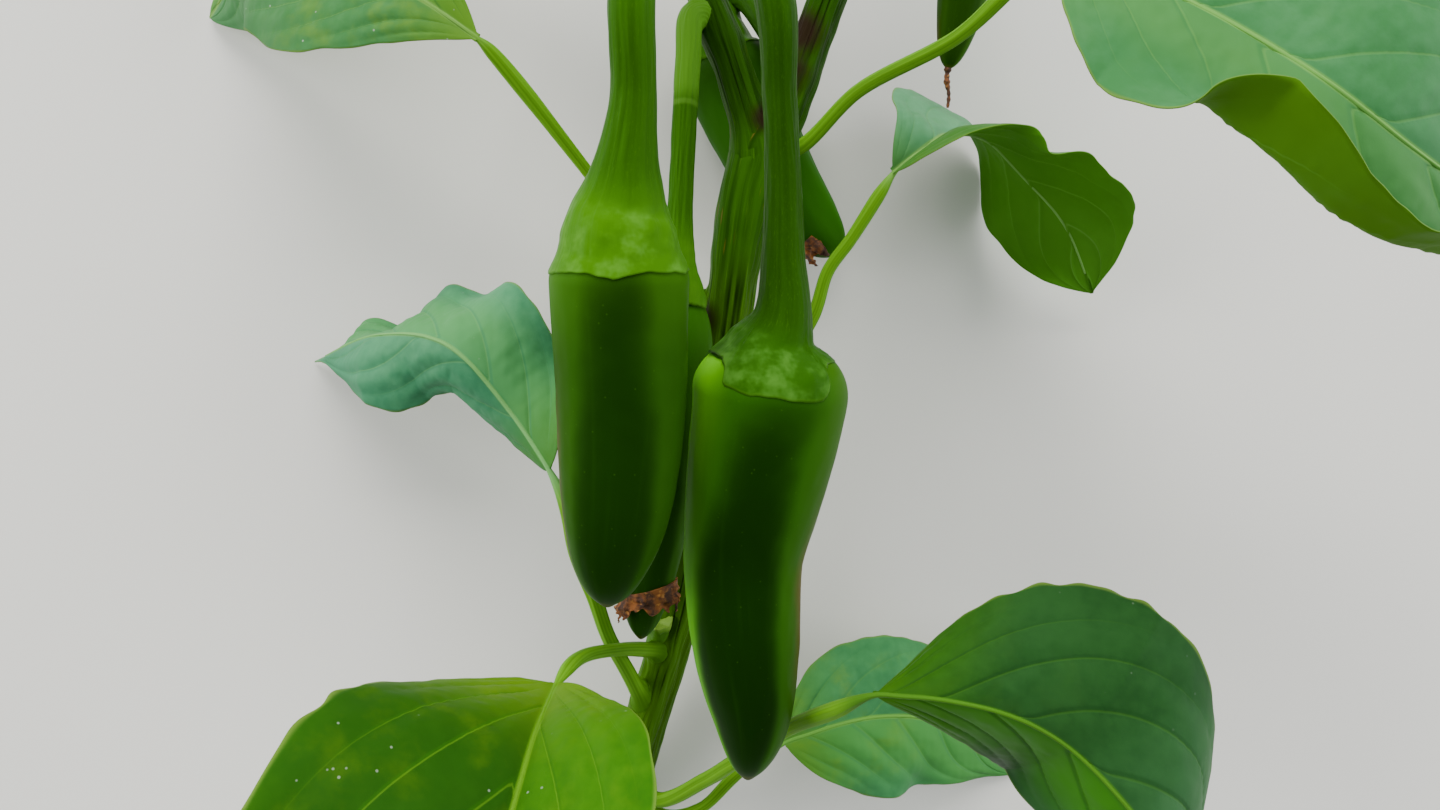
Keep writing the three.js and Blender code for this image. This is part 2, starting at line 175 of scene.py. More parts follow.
# Puts tubes of points into one mesh. A tube is a grid of closed rings: neighbouring points and rings make
# four-sided faces, and a fan of triangles closes each end. Fields are vectors kept with the points.
def buildMesh(name, tubes):
    corners, squares, fans, fields = [], [], [], {}
    first = 0
    for tube in tubes:
        points = tube["points"]
        rows, columns = points.shape[:2]
        index = first + np.arange(rows * columns).reshape(rows, columns)
        after = np.roll(index, -1, axis=1)
        square = np.stack([index[:-1], after[:-1], after[1:], index[1:]], -1).reshape(-1, 4)
        ends = first + rows * columns + np.arange(2)
        start = np.stack([after[0], index[0], np.full(columns, ends[0])], -1)
        finish = np.stack([index[-1], after[-1], np.full(columns, ends[1])], -1)
        fan = np.vstack([start, finish])
        whole = np.vstack([points.reshape(-1, 3), points[0].mean(0), points[-1].mean(0)])
        a, b, c, d = (whole[square[:, k] - first] for k in range(4))
        volume = (np.cross(a, b) * c).sum() + (np.cross(a, c) * d).sum()
        if volume < 0:
            square, fan = square[:, ::-1], fan[:, ::-1]
        corners.append(whole)
        squares.append(square)
        fans.append(fan)
        for key, values in tube["fields"].items():
            values = np.broadcast_to(values, points.shape)
            values = np.vstack([values.reshape(-1, 3), values[0].mean(0), values[-1].mean(0)])
            fields.setdefault(key, []).append(values)
        first += len(whole)
    corners = (np.vstack(corners) + layout["shift"]) * mm
    squares, fans = np.vstack(squares), np.vstack(fans)
    mesh = bpy.data.meshes.new(name)
    mesh.vertices.add(len(corners))
    mesh.vertices.foreach_set("co", corners.astype(np.float32).ravel())
    mesh.loops.add(squares.size + fans.size)
    mesh.loops.foreach_set("vertex_index", np.r_[squares.ravel(), fans.ravel()].astype(np.int32))
    mesh.polygons.add(len(squares) + len(fans))
    starts = np.r_[np.arange(len(squares)) * 4, squares.size + np.arange(len(fans)) * 3]
    mesh.polygons.foreach_set("loop_start", starts.astype(np.int32))
    mesh.update(calc_edges=True)
    mesh.shade_smooth()
    for key, parts in fields.items():
        layer = mesh.attributes.new(key, "FLOAT_VECTOR", "POINT")
        layer.data.foreach_set("vector", np.vstack(parts).astype(np.float32).ravel())
    return mesh


# A piece of the plant: its tubes as one object with one material, riding on the plant
def addPiece(name, tubes, material, slot, *nodes):
    mesh = buildMesh(name, tubes)
    mesh.materials.append(material)
    piece = bpy.data.objects.new(name, mesh)
    bpy.context.scene.collection.objects.link(piece)
    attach(piece, "root")
    if nodes:
        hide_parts(*nodes)


# Shader maths

# A colour from its red, green and blue on screen, 0 to 255
def tint(red, green, blue):
    screen = np.array([red, green, blue]) / 255
    light = np.where(screen > 0.04045, ((screen + 0.055) / 1.055) ** 2.4, screen / 12.92)
    return (*light.tolist(), 1.0)


# A shader socket that can be reckoned with: each operator adds a Math node
class Field:
    def __init__(self, shader, socket):
        self.shader = shader
        self.socket = socket

    def math(self, operation, *others):
        return self.shader.node("ShaderNodeMath", {"operation": operation}, (self, *others))

    def __add__(self, other):
        return self.math("ADD", other)

    __radd__ = __add__

    def __mul__(self, other):
        return self.math("MULTIPLY", other)

    __rmul__ = __mul__

    def __sub__(self, other):
        return self.math("SUBTRACT", other)

    def __rsub__(self, other):
        return self.shader.node("ShaderNodeMath", {"operation": "SUBTRACT"}, (other, self))

    # 0 to 1 as the value goes from low to high, with soft ends
    def between(self, low, high):
        settings = {"interpolation_type": "SMOOTHSTEP"}
        return self.shader.node("ShaderNodeMapRange", settings, (self, low, high))

    # The distance from the nearest whole number
    def offWhole(self):
        return (self - self.math("ROUND")).math("ABSOLUTE")


class Shader:
    def __init__(self, name):
        self.material = bpy.data.materials.new(name)
        self.material.use_nodes = True
        self.tree = self.material.node_tree
        self.tree.nodes.clear()

    # Adds a node of a type, with its settings first and then its sockets' values or links, by place in a
    # tuple or by place or name in a dictionary, and returns one of its outputs. Colours are given as on
    # screen.
    def node(self, kind, settings=None, inputs=(), output=0):
        made = self.tree.nodes.new(kind)
        for key, value in (settings or {}).items():
            setattr(made, key, value)
        pairs = inputs.items() if isinstance(inputs, dict) else enumerate(inputs)
        for key, value in pairs:
            socket = made.inputs[key]
            if isinstance(value, Field):
                self.tree.links.new(value.socket, socket)
            else:
                socket.default_value = tint(*value) if socket.type == "RGBA" else value
        return Field(self, made.outputs[output]) if len(made.outputs) else None

    def attribute(self, name):
        return self.node("ShaderNodeAttribute", {"attribute_name": name}, output="Vector")

    def split(self, vector):
        first = self.node("ShaderNodeSeparateXYZ", inputs=(vector,))
        outputs = first.socket.node.outputs
        return [Field(self, outputs[k]) for k in range(3)]

    def place(self):
        return self.node("ShaderNodeTexCoord", output="Object")

    def stretched(self, vector, scale):
        return self.node("ShaderNodeVectorMath", {"operation": "MULTIPLY"}, (vector, scale))

    def noise(self, vector, scale, detail=2.0, roughness=0.5):
        inputs = {"Vector": vector, "Scale": scale, "Detail": detail, "Roughness": roughness}
        return self.node("ShaderNodeTexNoise", inputs=inputs)

    # Distance from the nearest of scattered seeds
    def cells(self, vector, scale):
        inputs = {"Vector": vector, "Scale": scale}
        return self.node("ShaderNodeTexVoronoi", inputs=inputs, output="Distance")

    # Colour a where the mask is 0 and b where it is 1
    def mix(self, mask, a, b):
        settings = {"data_type": "RGBA", "clamp_factor": True}
        return self.node("ShaderNodeMix", settings, {0: mask, 6: a, 7: b}, 2)

    # A colour under layers, each a mask and the colour that shows where the mask is 1
    def layers(self, colour, *layers):
        for mask, upper in layers:
            colour = self.mix(mask, colour, upper)
        return colour

    # 1 within a radius of a spot of the layout, falling to 0 at its edge
    def spot(self, centre, radius):
        at = tuple((np.array(centre) + layout["shift"]) * mm)
        offset = {"operation": "DISTANCE"}
        far = self.node("ShaderNodeVectorMath", offset, (self.place(), at), "Value")
        return 1 - far.between(radius * 0.3 * mm, radius * mm)

    def bump(self, height, distance):
        return self.node("ShaderNodeBump", inputs={"Height": height, "Distance": distance * mm})

    # The finish: its colour, roughness and normal vary over the surface. Shine is how strong its highlights
    # are and sheen their colour, and glow is the share and the colour of the light that comes through.
    def finish(self, colour, roughness, normal=None, shine=0.5, sheen=(255, 255, 255), glow=None):
        inputs = {"Base Color": colour, "Roughness": roughness}
        if normal is not None:
            inputs["Normal"] = normal
        inputs.update({"Specular IOR Level": shine, "Specular Tint": sheen})
        surface = self.node("ShaderNodeBsdfPrincipled", inputs=inputs)
        if glow:
            share, tone = glow
            through = self.node("ShaderNodeBsdfTranslucent", inputs={"Color": tone})
            surface = self.node("ShaderNodeMixShader", inputs=(share, surface, through))
        self.node("ShaderNodeOutputMaterial", inputs={"Surface": surface})
        return self.material


# Stem and branches

# Each limb's stations: x, y, z and radius
limbs = {
    "main_stem": [
        (-24.4, -95.4, -52.6, 5.1), (-19.8, -80.3, -49.4, 4.9), (-15.6, -66.5, -45.5, 4.6),
        (-11.3, -52.2, -41.5, 4.6), (-6.3, -32.3, -36.5, 4.6), (-1.6, -5.1, -32, 4.7),
        (2.4, 24.2, -29, 4.8), (5, 41.4, -29.6, 4.8), (6.1, 45.8, -30.3, 4.7), (7, 49.5, -30.9, 4.4),
        (7.6, 52.6, -31.5, 3.7), (8, 55, -32, 2.5), (8.1, 56.2, -32.2, 1),
    ],
    "left_branch": [
        (3.3, 31, -29.3, 2.9), (5.6, 41, -29.6, 3.6), (7.2, 50, -30, 4), (4.5, 61.7, -30, 3.9),
        (1.2, 71.9, -30, 3.8), (-2.6, 82, -30, 3.7), (-9.7, 99.7, -29, 3.6), (-15.4, 115.3, -28, 3.7),
        (-19.2, 125.5, -28, 3.2),
    ],
    "right_branch": [
        (5.2, 38, -29.5, 3.2), (8.6, 48, -30, 3.9), (12.8, 58.2, -30.5, 4.2), (15.7, 66.1, -31, 4.1),
        (18.5, 74, -31.5, 4), (21.7, 82.7, -32, 3.9), (30, 105.7, -33, 3.7), (37.4, 126.5, -34, 3.7),
        (40.6, 136, -34, 3.2),
    ],
}
limbForm = {
    "around": 120,
    "ringEvery": 0.45,  # along the limb
    "ribs": 5,
    "ribHeight": 0.05,  # of the radius
    "drift": (0.6, 31),  # how far the ribs turn about, in radians, and how slowly
    "groove": 0.13,
    "grooveSize": 7,
    "grain": 0.09,
    "grainSize": 2.2,
    "joinReach": 1.6,  # how far the calm bark goes past a web
    "web": 5.0,  # how far a limb swells towards another at the fork
    "footWeb": 3.2,  # and towards a petiole or a pod's stalk
    "stretch": 9,  # how many times longer than wide its marks are
    "cutRings": [0.04, 0.3, 0.55, 0.78, 0.93, 0.985],  # radii of the rings on a cut end
}
limbCurves = {name: Curve(stations) for name, stations in limbs.items()}


# A limb: circles along its curve, drawn out into rounded ribs by a cosine of the angle that drifts slowly
# along, less narrow grooves and a fine grain that both run lengthwise. Its ends are cut flat.
def limbTube(curve, form, seed, feet):
    t = np.linspace(0, 1, int(curve.length / form["ringEvery"]))
    station, _, side, front, angle = tubeFrame(curve, t, form["around"])
    far = (t * curve.length)[:, None] + 0 * angle
    lengthwise = unrolled(angle, far / form["stretch"])
    drift, every = form["drift"]
    ribs = np.cos(form["ribs"] * angle + drift * np.sin(far / every + seed))
    grooves = np.maximum(0, unevenness(lengthwise, form["grooveSize"], seed)) ** 2
    grain = unevenness(lengthwise * [1, 1, 2], form["grainSize"], seed + 1)
    radius = station[:, 3:4] * (1 + form["ribHeight"] * ribs)
    radius = radius - form["groove"] * grooves + form["grain"] * grain
    points, outward = rings(station, side, front, radius, angle)
    join = np.zeros_like(angle)
    for other, reach in feet:
        near = np.abs(limbDistance(points, other)[0])
        join = np.maximum(join, 1 - ease(0, form["joinReach"] * reach, near))
        points = webbed(points, outward, other, reach)
    edge = np.array(form["cutRings"])[:, None, None]
    start = points[0].mean(0) + (points[0] - points[0].mean(0)) * edge
    finish = points[-1].mean(0) + (points[-1] - points[-1].mean(0)) * edge[::-1]
    points = np.concatenate([start, points, finish])
    wide = np.broadcast_to(edge[..., 0], (len(edge), form["around"]))
    core = np.concatenate([wide, np.ones_like(angle), wide[::-1]])
    cut = np.concatenate([np.ones_like(wide), np.zeros_like(angle), np.ones_like(wide)])
    pad = ((len(edge), len(edge)), (0, 0), (0, 0))
    kind = np.stack([cut, core, np.pad(join, pad[:2], mode="edge")], -1)
    return closedTube(points, lengthwise=np.pad(lengthwise, pad, mode="edge"), kind=kind)


stemLook = {
    "dark": (28, 66, 1),
    "light": (46, 94, 2),
    "ridge": (74, 124, 16),
    "groove": (10, 26, 1),
    "scar": (34, 16, 14),
    # Painted shade on the branches
    "shade": (10, 26, 1),
    # Painted light low on the stem
    "low": (80, 116, 8),
    "cork": (112, 92, 40),
    "cutRim": (96, 140, 40),
    "cutWood": (196, 206, 130),
    "cutPith": (226, 232, 190),
    "shine": 0.14,
    # Purple-brown marks where leaves and stalks leave the stem: centre and radius
    "scars": [((-3.4, 17, -27.5), 5.5), ((9.5, 57, -26), 5), ((14, 66, -28), 6), ((16, 75, -28.5), 7),
              ((3, -4, -29), 3.5)],
}


# Green bark with a lengthwise grain, lighter olive below as painted light and darker on the branches as
# painted shade, dark in its grooves, with purple-brown scars and pale flecks
def stemMaterial(look):
    s = Shader("greenBark")
    run = s.attribute("lengthwise")
    cut, core, join = s.split(s.attribute("kind"))
    grown = s.split(s.place())[1]
    grain = s.noise(s.stretched(run, (1, 1, 0.35)), 0.35, 4.0, 0.6)
    fine = s.noise(s.stretched(run, (1, 1, 0.5)), 1.6, 3.0, 0.6)
    patches = s.noise(s.place(), 55, 3.0)
    level = s.noise(s.stretched(run, (1, 1, 0.08)), 0.17, 1.0)
    grooves = (1 - (level - 0.5).math("ABSOLUTE").between(0.004, 0.028)) * (1 - join)
    flecks = 1 - s.cells(s.stretched(run, (1, 1, 1.6)), 0.5).between(0.08, 0.2)
    scarred = sum(s.spot(centre, radius) for centre, radius in look["scars"])
    scarred = scarred * (patches.between(0.3, 0.5) * 0.7 + 0.3)
    wood = s.layers(
        look["cutPith"],
        (core.between(0.5, 0.72), look["cutWood"]),
        (core.between(0.84, 0.95), look["cutRim"]),
        (s.noise(s.place(), 1400, 2.0).between(0.45, 0.7) * 0.35, look["cutRim"]),
    )
    colour = s.layers(
        look["dark"],
        (grain.between(0.36, 0.62), look["light"]),
        (fine.between(0.56, 0.72) * 0.5, look["ridge"]),
        # Painted light low on the stem, painted shade on the branches
        ((1 - grown.between(0.0, 0.024)) * 0.32, look["low"]),
        (grown.between(0.03, 0.055) * 0.5, look["shade"]),
        (grooves * 0.85, look["groove"]),
        (flecks * patches.between(0.5, 0.62) * 0.6, look["cork"]),
        (scarred * 0.95, look["scar"]),
        (cut, wood),
    )
    height = fine * 0.6 + grain - grooves * 0.8
    rough = grain * 0.2 + 0.4 + cut * 0.3
    return s.finish(colour, rough, s.bump(height, 0.2), look["shine"], look["ridge"])


# Pods

# Each pod: its bent axis from top to tip, its greatest radius, its taper, how soon its shoulder is full
# (a share of its length), and for some how deep the waist is or how blunt the tip
pods = {
    "front_right": {
        "axis": [
            (9.3, 12, 3), (8.4, 0.9, 1), (6, -13.2, -1), (3.9, -27.6, -4), (4.7, -44.2, -6),
            (5.8, -57.4, -8), (5.1, -67.9, -9),
        ],
        "radius": 13.4, "taper": 0.36, "shoulder": 0.13, "waist": 0.06,
    },
    "front_left": {
        "axis": [
            (-16.2, 27.8, 15), (-16.3, 17.1, 13), (-16.2, 0.8, 10), (-17.1, -15.9, 8), (-18.4, -26.2, 6),
            (-19.2, -33.8, 5),
        ],
        "radius": 11, "taper": 0.2, "shoulder": 0.13,
    },
    "behind_left": {
        "axis": [
            (-8.2, 23.2, -17), (-9.6, 9.6, -19), (-11.3, -8.7, -21), (-13.4, -26.6, -24),
            (-15.7, -46.1, -26),
        ],
        "radius": 8.2, "taper": 0.25, "shoulder": 0.22,
    },
    "behind_stem": {
        "axis": [
            (0, 78.8, -46.4), (5.4, 65.2, -47.2), (13.5, 48.9, -47.8), (20.1, 39.9, -48.4),
            (26.2, 33.7, -49),
        ],
        "radius": 10.3, "taper": 0.3, "shoulder": 0.16, "tipBluntness": 0.42,
    },
    "upper_right": {
        "axis": [(53.6, 112.3, -30), (51.6, 98.2, -30), (49.2, 82.3, -31), (46.6, 68.8, -32)],
        "radius": 6.2, "taper": 0.3, "shoulder": 0.16,
    },
}
podForm = {
    "around": 160,
    "rows": 220,
    "rowsFrom": 0.02,  # the rings' first and last turn, short of the very ends
    "stretch": 4,
    "fullness": 1.06,
    "tipPower": 5,
    "tipBluntness": 0.5,
    "waist": 0,
    "waistAt": 0.5,
    "waistSpread": 0.14,
    "lobe": 0.018,  # of the radius
    "lobeTurn": 1.5,  # from top to tip
    "dents": 0.24,
    "dentSize": 13,
    "ripple": 0.03,
    "rippleSize": 3.5,
    "calmTop": (0.02, 0.2),  # shares of the length where the unevenness begins and is full
    "nipple": 0.7,
    "nippleSpan": 0.004,
    "usual": 13,  # radius of a pod whose dents and tip are full-sized
}
pods = {name: {**podForm, **pod, "curve": Curve(pod["axis"])} for name, pod in pods.items()}


# A pod's radius: a quarter-round shoulder, an even taper, a blunt tip and a slight waist
def podRadius(pod, t):
    short = np.maximum(0, 1 - t / pod["shoulder"])
    tip = np.maximum(0, 1 - t ** pod["tipPower"]) ** pod["tipBluntness"]
    nearWaist = (t - pod["waistAt"]) / pod["waistSpread"]
    narrowing = 1 - pod["waist"] * np.exp(-(nearWaist**2))
    body = pod["radius"] * pod["fullness"] * (1 - pod["taper"] * t)
    return body * tip * narrowing * np.sqrt(1 - short * short)


# Points of a pod's skin at shares t and angles, a little outside or inside it by offset
def podSkin(pod, t, angle, offset):
    flatT = np.clip(t.ravel(), 0, 1)
    side, front = across(pod["curve"].heading(flatT), layout["up"])
    radius = np.maximum(0, podRadius(pod, flatT) + offset.ravel())
    lean = angle.ravel()[:, None]
    outward = side * np.cos(lean) + front * np.sin(lean)
    return (pod["curve"].at(flatT) + outward * radius[:, None]).reshape(*t.shape, 3)


# A pod: rings along its axis, crowded towards both ends, three-lobed by a cosine of the angle, with
# shallow lengthwise dents and a fine unevenness, all less near its ends, and a small point at its tip
def podTube(pod, seed):
    t = (1 - np.cos(np.linspace(pod["rowsFrom"], math.pi - pod["rowsFrom"], pod["rows"]))) / 2
    angle = turn(pod["around"])[None, :] + 0 * t[:, None]
    t = t[:, None] + 0 * angle
    lengthwise = unrolled(angle, t * pod["curve"].length / pod["stretch"])
    slender = pod["radius"] / pod["usual"]
    full = np.sin(math.pi * t) ** 0.5 * ease(*pod["calmTop"], t)
    lobes = pod["lobe"] * pod["radius"] * np.cos(3 * angle + seed + t * pod["lobeTurn"])
    dents = pod["dents"] * slender * unevenness(lengthwise, pod["dentSize"], seed)
    ripple = pod["ripple"] * unevenness(lengthwise * [1, 1, 2], pod["rippleSize"], seed + 5)
    points = podSkin(pod, t, angle, (lobes + dents + ripple) * full)
    nipple = pod["nipple"] * slender * np.exp((t - 1) / pod["nippleSpan"])
    points = points + pod["curve"].heading(t[:, 0])[:, None] * nipple[..., None]
    return closedTube(points, lengthwise=lengthwise, kind=np.stack([np.sin(angle), t, np.cos(angle)], -1))


podLook = {
    # Painted shade where the pod faces up
    "deep": (11, 40, 1),
    "streak": (40, 92, 2),
    "blush": (104, 44, 6),
    "fleck": (62, 112, 20),
    "tip": (60, 70, 12),
    "shine": 0.05,
    "sheen": (150, 230, 110),
    "lean": 0,
    "blushSide": 1,  # 1 for the left and -1 for the right
    "blushSpan": (0.8, 0.9),
}


# Waxy skin: three greens at the shoulder and three below, from the left flank over the front to the right,
# that paint the light and shade across the pod, painted shade in deep green where the body faces up, a
# brownish blush low on one flank, faint lengthwise streaks and small pale flecks
def podMaterial(name, look):
    s = Shader(f"podSkin_{name}")
    run = s.attribute("lengthwise")
    raised, along, sideways = s.split(s.attribute("kind"))
    cloud = s.noise(s.place(), 60, 3.0)
    streak = s.noise(s.stretched(run, (1, 1, 0.15)), 0.45, 3.0)
    leftward = sideways.between(0.35, 1.0)
    rightward = (0 - sideways).between(0.3, 1.05)
    # Painted light and shade: greens that change from the left flank over the front to the right, at the
    # shoulder and below
    paintedLightBands = []
    for left, middle, right in (look["top"], look["body"]):
        paintedLightBands.append(s.layers(middle, (leftward * leftward, left), (rightward * rightward, right)))
    # Painted shade: deep green where the pod faces up, leaning to one side
    lean = (along.between(0.05, 0.25) * 0.22 - 0.25 + along.between(0.3, 0.8) * 0.3) * look["lean"]
    paintedShadeLevel = raised + along.between(0.2, 0.7) * 0.2 + sideways * lean + (cloud - 0.5) * 0.25
    byTip = 1 - along.between(0.88, 1.0) * 0.4
    deep = paintedShadeLevel.between(0.8, 1.1) * along.between(*look["paintedShadeFrom"]) * byTip
    flank = (sideways * look["blushSide"] - raised * 0.25 + (cloud - 0.5) * 0.4).between(0.66, 1.14)
    start, stop = look["blushSpan"]
    span = along.between(start - 0.1, start + 0.2) * (1 - along.between(stop - 0.1, stop + 0.12))
    flecks = 1 - s.cells(s.place(), 520).between(0.05, 0.1)
    colour = s.layers(
        paintedLightBands[0],
        (along.between(0.05, 0.35), paintedLightBands[1]),
        (deep * (2 - deep) * look["paintedShadeShare"], look["deep"]),
        (streak.between(0.52, 0.76) * 0.1, look["streak"]),
        (flank * span * 0.6, look["blush"]),
        (flecks * 0.2, look["fleck"]),
        (along.between(0.985, 0.997), look["tip"]),
    )
    height = s.noise(s.place(), 700, 2.0) * 0.4 + streak
    rough = cloud * 0.14 + streak * 0.08 + 0.36
    return s.finish(colour, rough, s.bump(height, 0.03), look["shine"], look["sheen"])


# Stalks with their cups

# Each stalk: the limb that it leaves, its stations to the cup's end (x, y, z and radius), how far its rim
# runs on over the pod, all round from the left over the front, at even steps or at the degrees given, how
# many teeth the rim has, how long they are and how ragged it is, and how far the cup is crinkled. The cup's
# span is how far from the end it starts and is full.
stalks = {
    "front_right": {
        "limb": "left_branch",
        "stations": [
            (-10.6, 101.8, -29, 3.4), (-4.5, 97, -16, 3.1), (4.4, 80.5, 4, 3.2), (9, 66.6, 11, 3.4),
            (10, 51, 8, 2.9), (10.7, 36.5, 5.5, 3.2), (10.8, 24.7, 4.5, 3.8), (10.9, 18.5, 4, 4.5),
            (10.6, 14.8, 3.8, 5.3), (9.9, 12.3, 3.3, 6.6), (9.3, 10.3, 2.8, 8.4), (9, 7.8, 2.3, 10.4),
        ],
        "cupSpan": (8, 3),
        "rim": [-0.4, -0.6, 1, 3.8, 5.2, 4.7, 5.4, 4.6, 3, -0.5, -1.2, -1, 3, 4, 2.5, 0.4],
        "rimAt": [0, 40, 48, 52, 75, 94, 114, 130, 137, 142, 150, 190, 225, 270, 315, 340], "teeth": 11,
        "tooth": 0.3, "ragged": 0.28, "crinkle": 0.24,
    },
    "front_left": {
        "limb": "left_branch",
        "stations": [
            (-15.8, 116.5, -28, 3.8), (-13.6, 105, -10, 3.5), (-12.4, 82, 18, 3.6), (-13.4, 61, 26, 3.6),
            (-13.4, 48.2, 22, 3.6), (-14.1, 42.5, 20, 4.3), (-14.8, 38.1, 18.5, 5.2), (-15.4, 34, 17, 6.7),
            (-15.9, 30.9, 16, 8), (-16.1, 27.7, 15.5, 9.2), (-16.2, 22.6, 14.4, 10.4),
        ],
        "rim": [0.6, 0.7, 0.8, 0.6, 0.5, 0.8, 1, 0.8], "crinkle": 0.18,
    },
    "behind_left": {
        "limb": "left_branch",
        "stations": [
            (0.8, 73.4, -30, 2.8), (-3.2, 78.2, -29, 2.6), (-5.6, 77, -26, 2.6), (-6.3, 67.6, -23, 2.5),
            (-7, 53.4, -21, 2.4), (-7.7, 36.4, -18.5, 2.5), (-8, 27.3, -17.5, 3.4), (-8.3, 21, -17, 5.6),
        ],
        "rim": [1, 1.4, 1.6, 1.2, 1, 1.4, 1.6, 1.2], "crinkle": 0.12,
    },
    "behind_stem": {
        "limb": "right_branch",
        "stations": [
            (15.4, 66, -31, 2.8), (9.6, 79.4, -38, 2.5), (5, 87.5, -44, 2.7), (1.4, 88.4, -46.5, 3.2),
            (-0.2, 83.8, -46.5, 5.2), (0.3, 76.4, -46, 7.8),
        ],
        "rim": [1.2, 1.6, 1.4, 1.2, 1.4, 1.8, 1.6, 1.2], "tooth": 1.2, "ragged": 0.25, "crinkle": 0.14,
    },
    "upper_right": {
        "limb": "right_branch",
        "stations": [
            (37.6, 127.3, -34, 2.6), (43.7, 133.5, -32, 2.4), (50.2, 132.6, -30, 2.5),
            (53.4, 123.5, -30, 2.8), (53.8, 115.8, -30, 4.6), (53.5, 109.8, -30, 5.8),
        ],
        "rim": [0.8, 1.2, 1.4, 1, 0.8, 1.2, 1.4, 1], "tooth": 0.9, "crinkle": 0.1,
    },
}
stalkForm = {
    "around": 120,
    "ringEvery": 0.4,
    "ribs": 5,
    "ribHeight": 0.02,
    "grain": 0.05,
    "grainSize": 3,
    "stretch": 6,
    "teeth": 5,
    "tooth": 1,
    "ragged": 0.2,
    "raggedSizes": (7, 2.5),
    "rimRoom": 5,  # length that the rows allow for the rim
    "rimCalm": (-1, 2),  # how far a rim runs on where its teeth begin and are full
    "rimWidth": 1.5,
    "overPod": 9,  # how far back from its end the cup can lie over the pod
    "podFrom": 0.004,  # shares of the pod's length that the cup can lie beside
    "podTo": 0.3,
    "skin": 0.4,  # least height of the cup's skin over the pod
    "lip": 0.2,  # height of its edge over the pod
    "lipSlope": 3,  # how far past the cup's end the skin comes down to that
    "cupSpan": (17, 7),
    "eased": 1.6,  # how far the bend between cup and pod is rounded, either way
    "easing": 24,
    "crinkleSize": 6.5,
    "crinkleFineSize": 3.2,
    "crinkleFloor": -0.7,
    "crinkleLift": 0.3,
    "crinkleTo": 0.97,  # share of the way to the rim where the crinkles begin to end
    "buried": [(-0.5, 0.1), (-1.4, -0.8)],  # closing rings inside the pod: height over it and distance on
}
for name, stalk in stalks.items():
    stalks[name] = {**stalkForm, **stalk, "curve": Curve(stalk["stations"]), "pod": pods[name]}


# How far the rim runs on past the cup's end at each angle: the stalk's own values, sharper teeth and some
# unevenness, both less where it doesn't run on
def rimRun(stalk, angle, seed):
    at = np.radians(stalk["rimAt"]) if "rimAt" in stalk else turn(len(stalk["rim"]))
    run = np.interp(angle, at, stalk["rim"], period=2 * math.pi)
    tooth = np.abs((angle * stalk["teeth"] / (2 * math.pi) + 0.25) % 1 - 0.5) * 2
    ragged = crumpled(unrolled(angle, 0 * angle), *stalk["raggedSizes"], seed + 7)
    calm = 0.2 + 0.8 * ease(*stalk["rimCalm"], run)
    return run + calm * (stalk["tooth"] * (1 - tooth) ** 2 + stalk["ragged"] * ragged)


# Moves points that lie in a pod's upper part out to just over its skin, away from the nearest place of its
# axis
def overSkin(points, pod, least, upper=0.35, samples=240):
    shares = np.linspace(0, upper, samples)
    axis = pod["curve"].at(shares)
    flat = points.reshape(-1, 3)
    parts = [np.linalg.norm(part[:, None] - axis, axis=-1).argmin(1) for part in np.array_split(flat, 40)]
    nearest = np.concatenate(parts)
    away = flat - axis[nearest]
    far = np.linalg.norm(away, axis=1)
    need = podRadius(pod, shares[nearest]) + least
    inside = (nearest > 0) & (far < need)
    flat = np.where(inside[:, None], axis[nearest] + away * (need / far)[:, None], flat)
    return flat.reshape(points.shape)


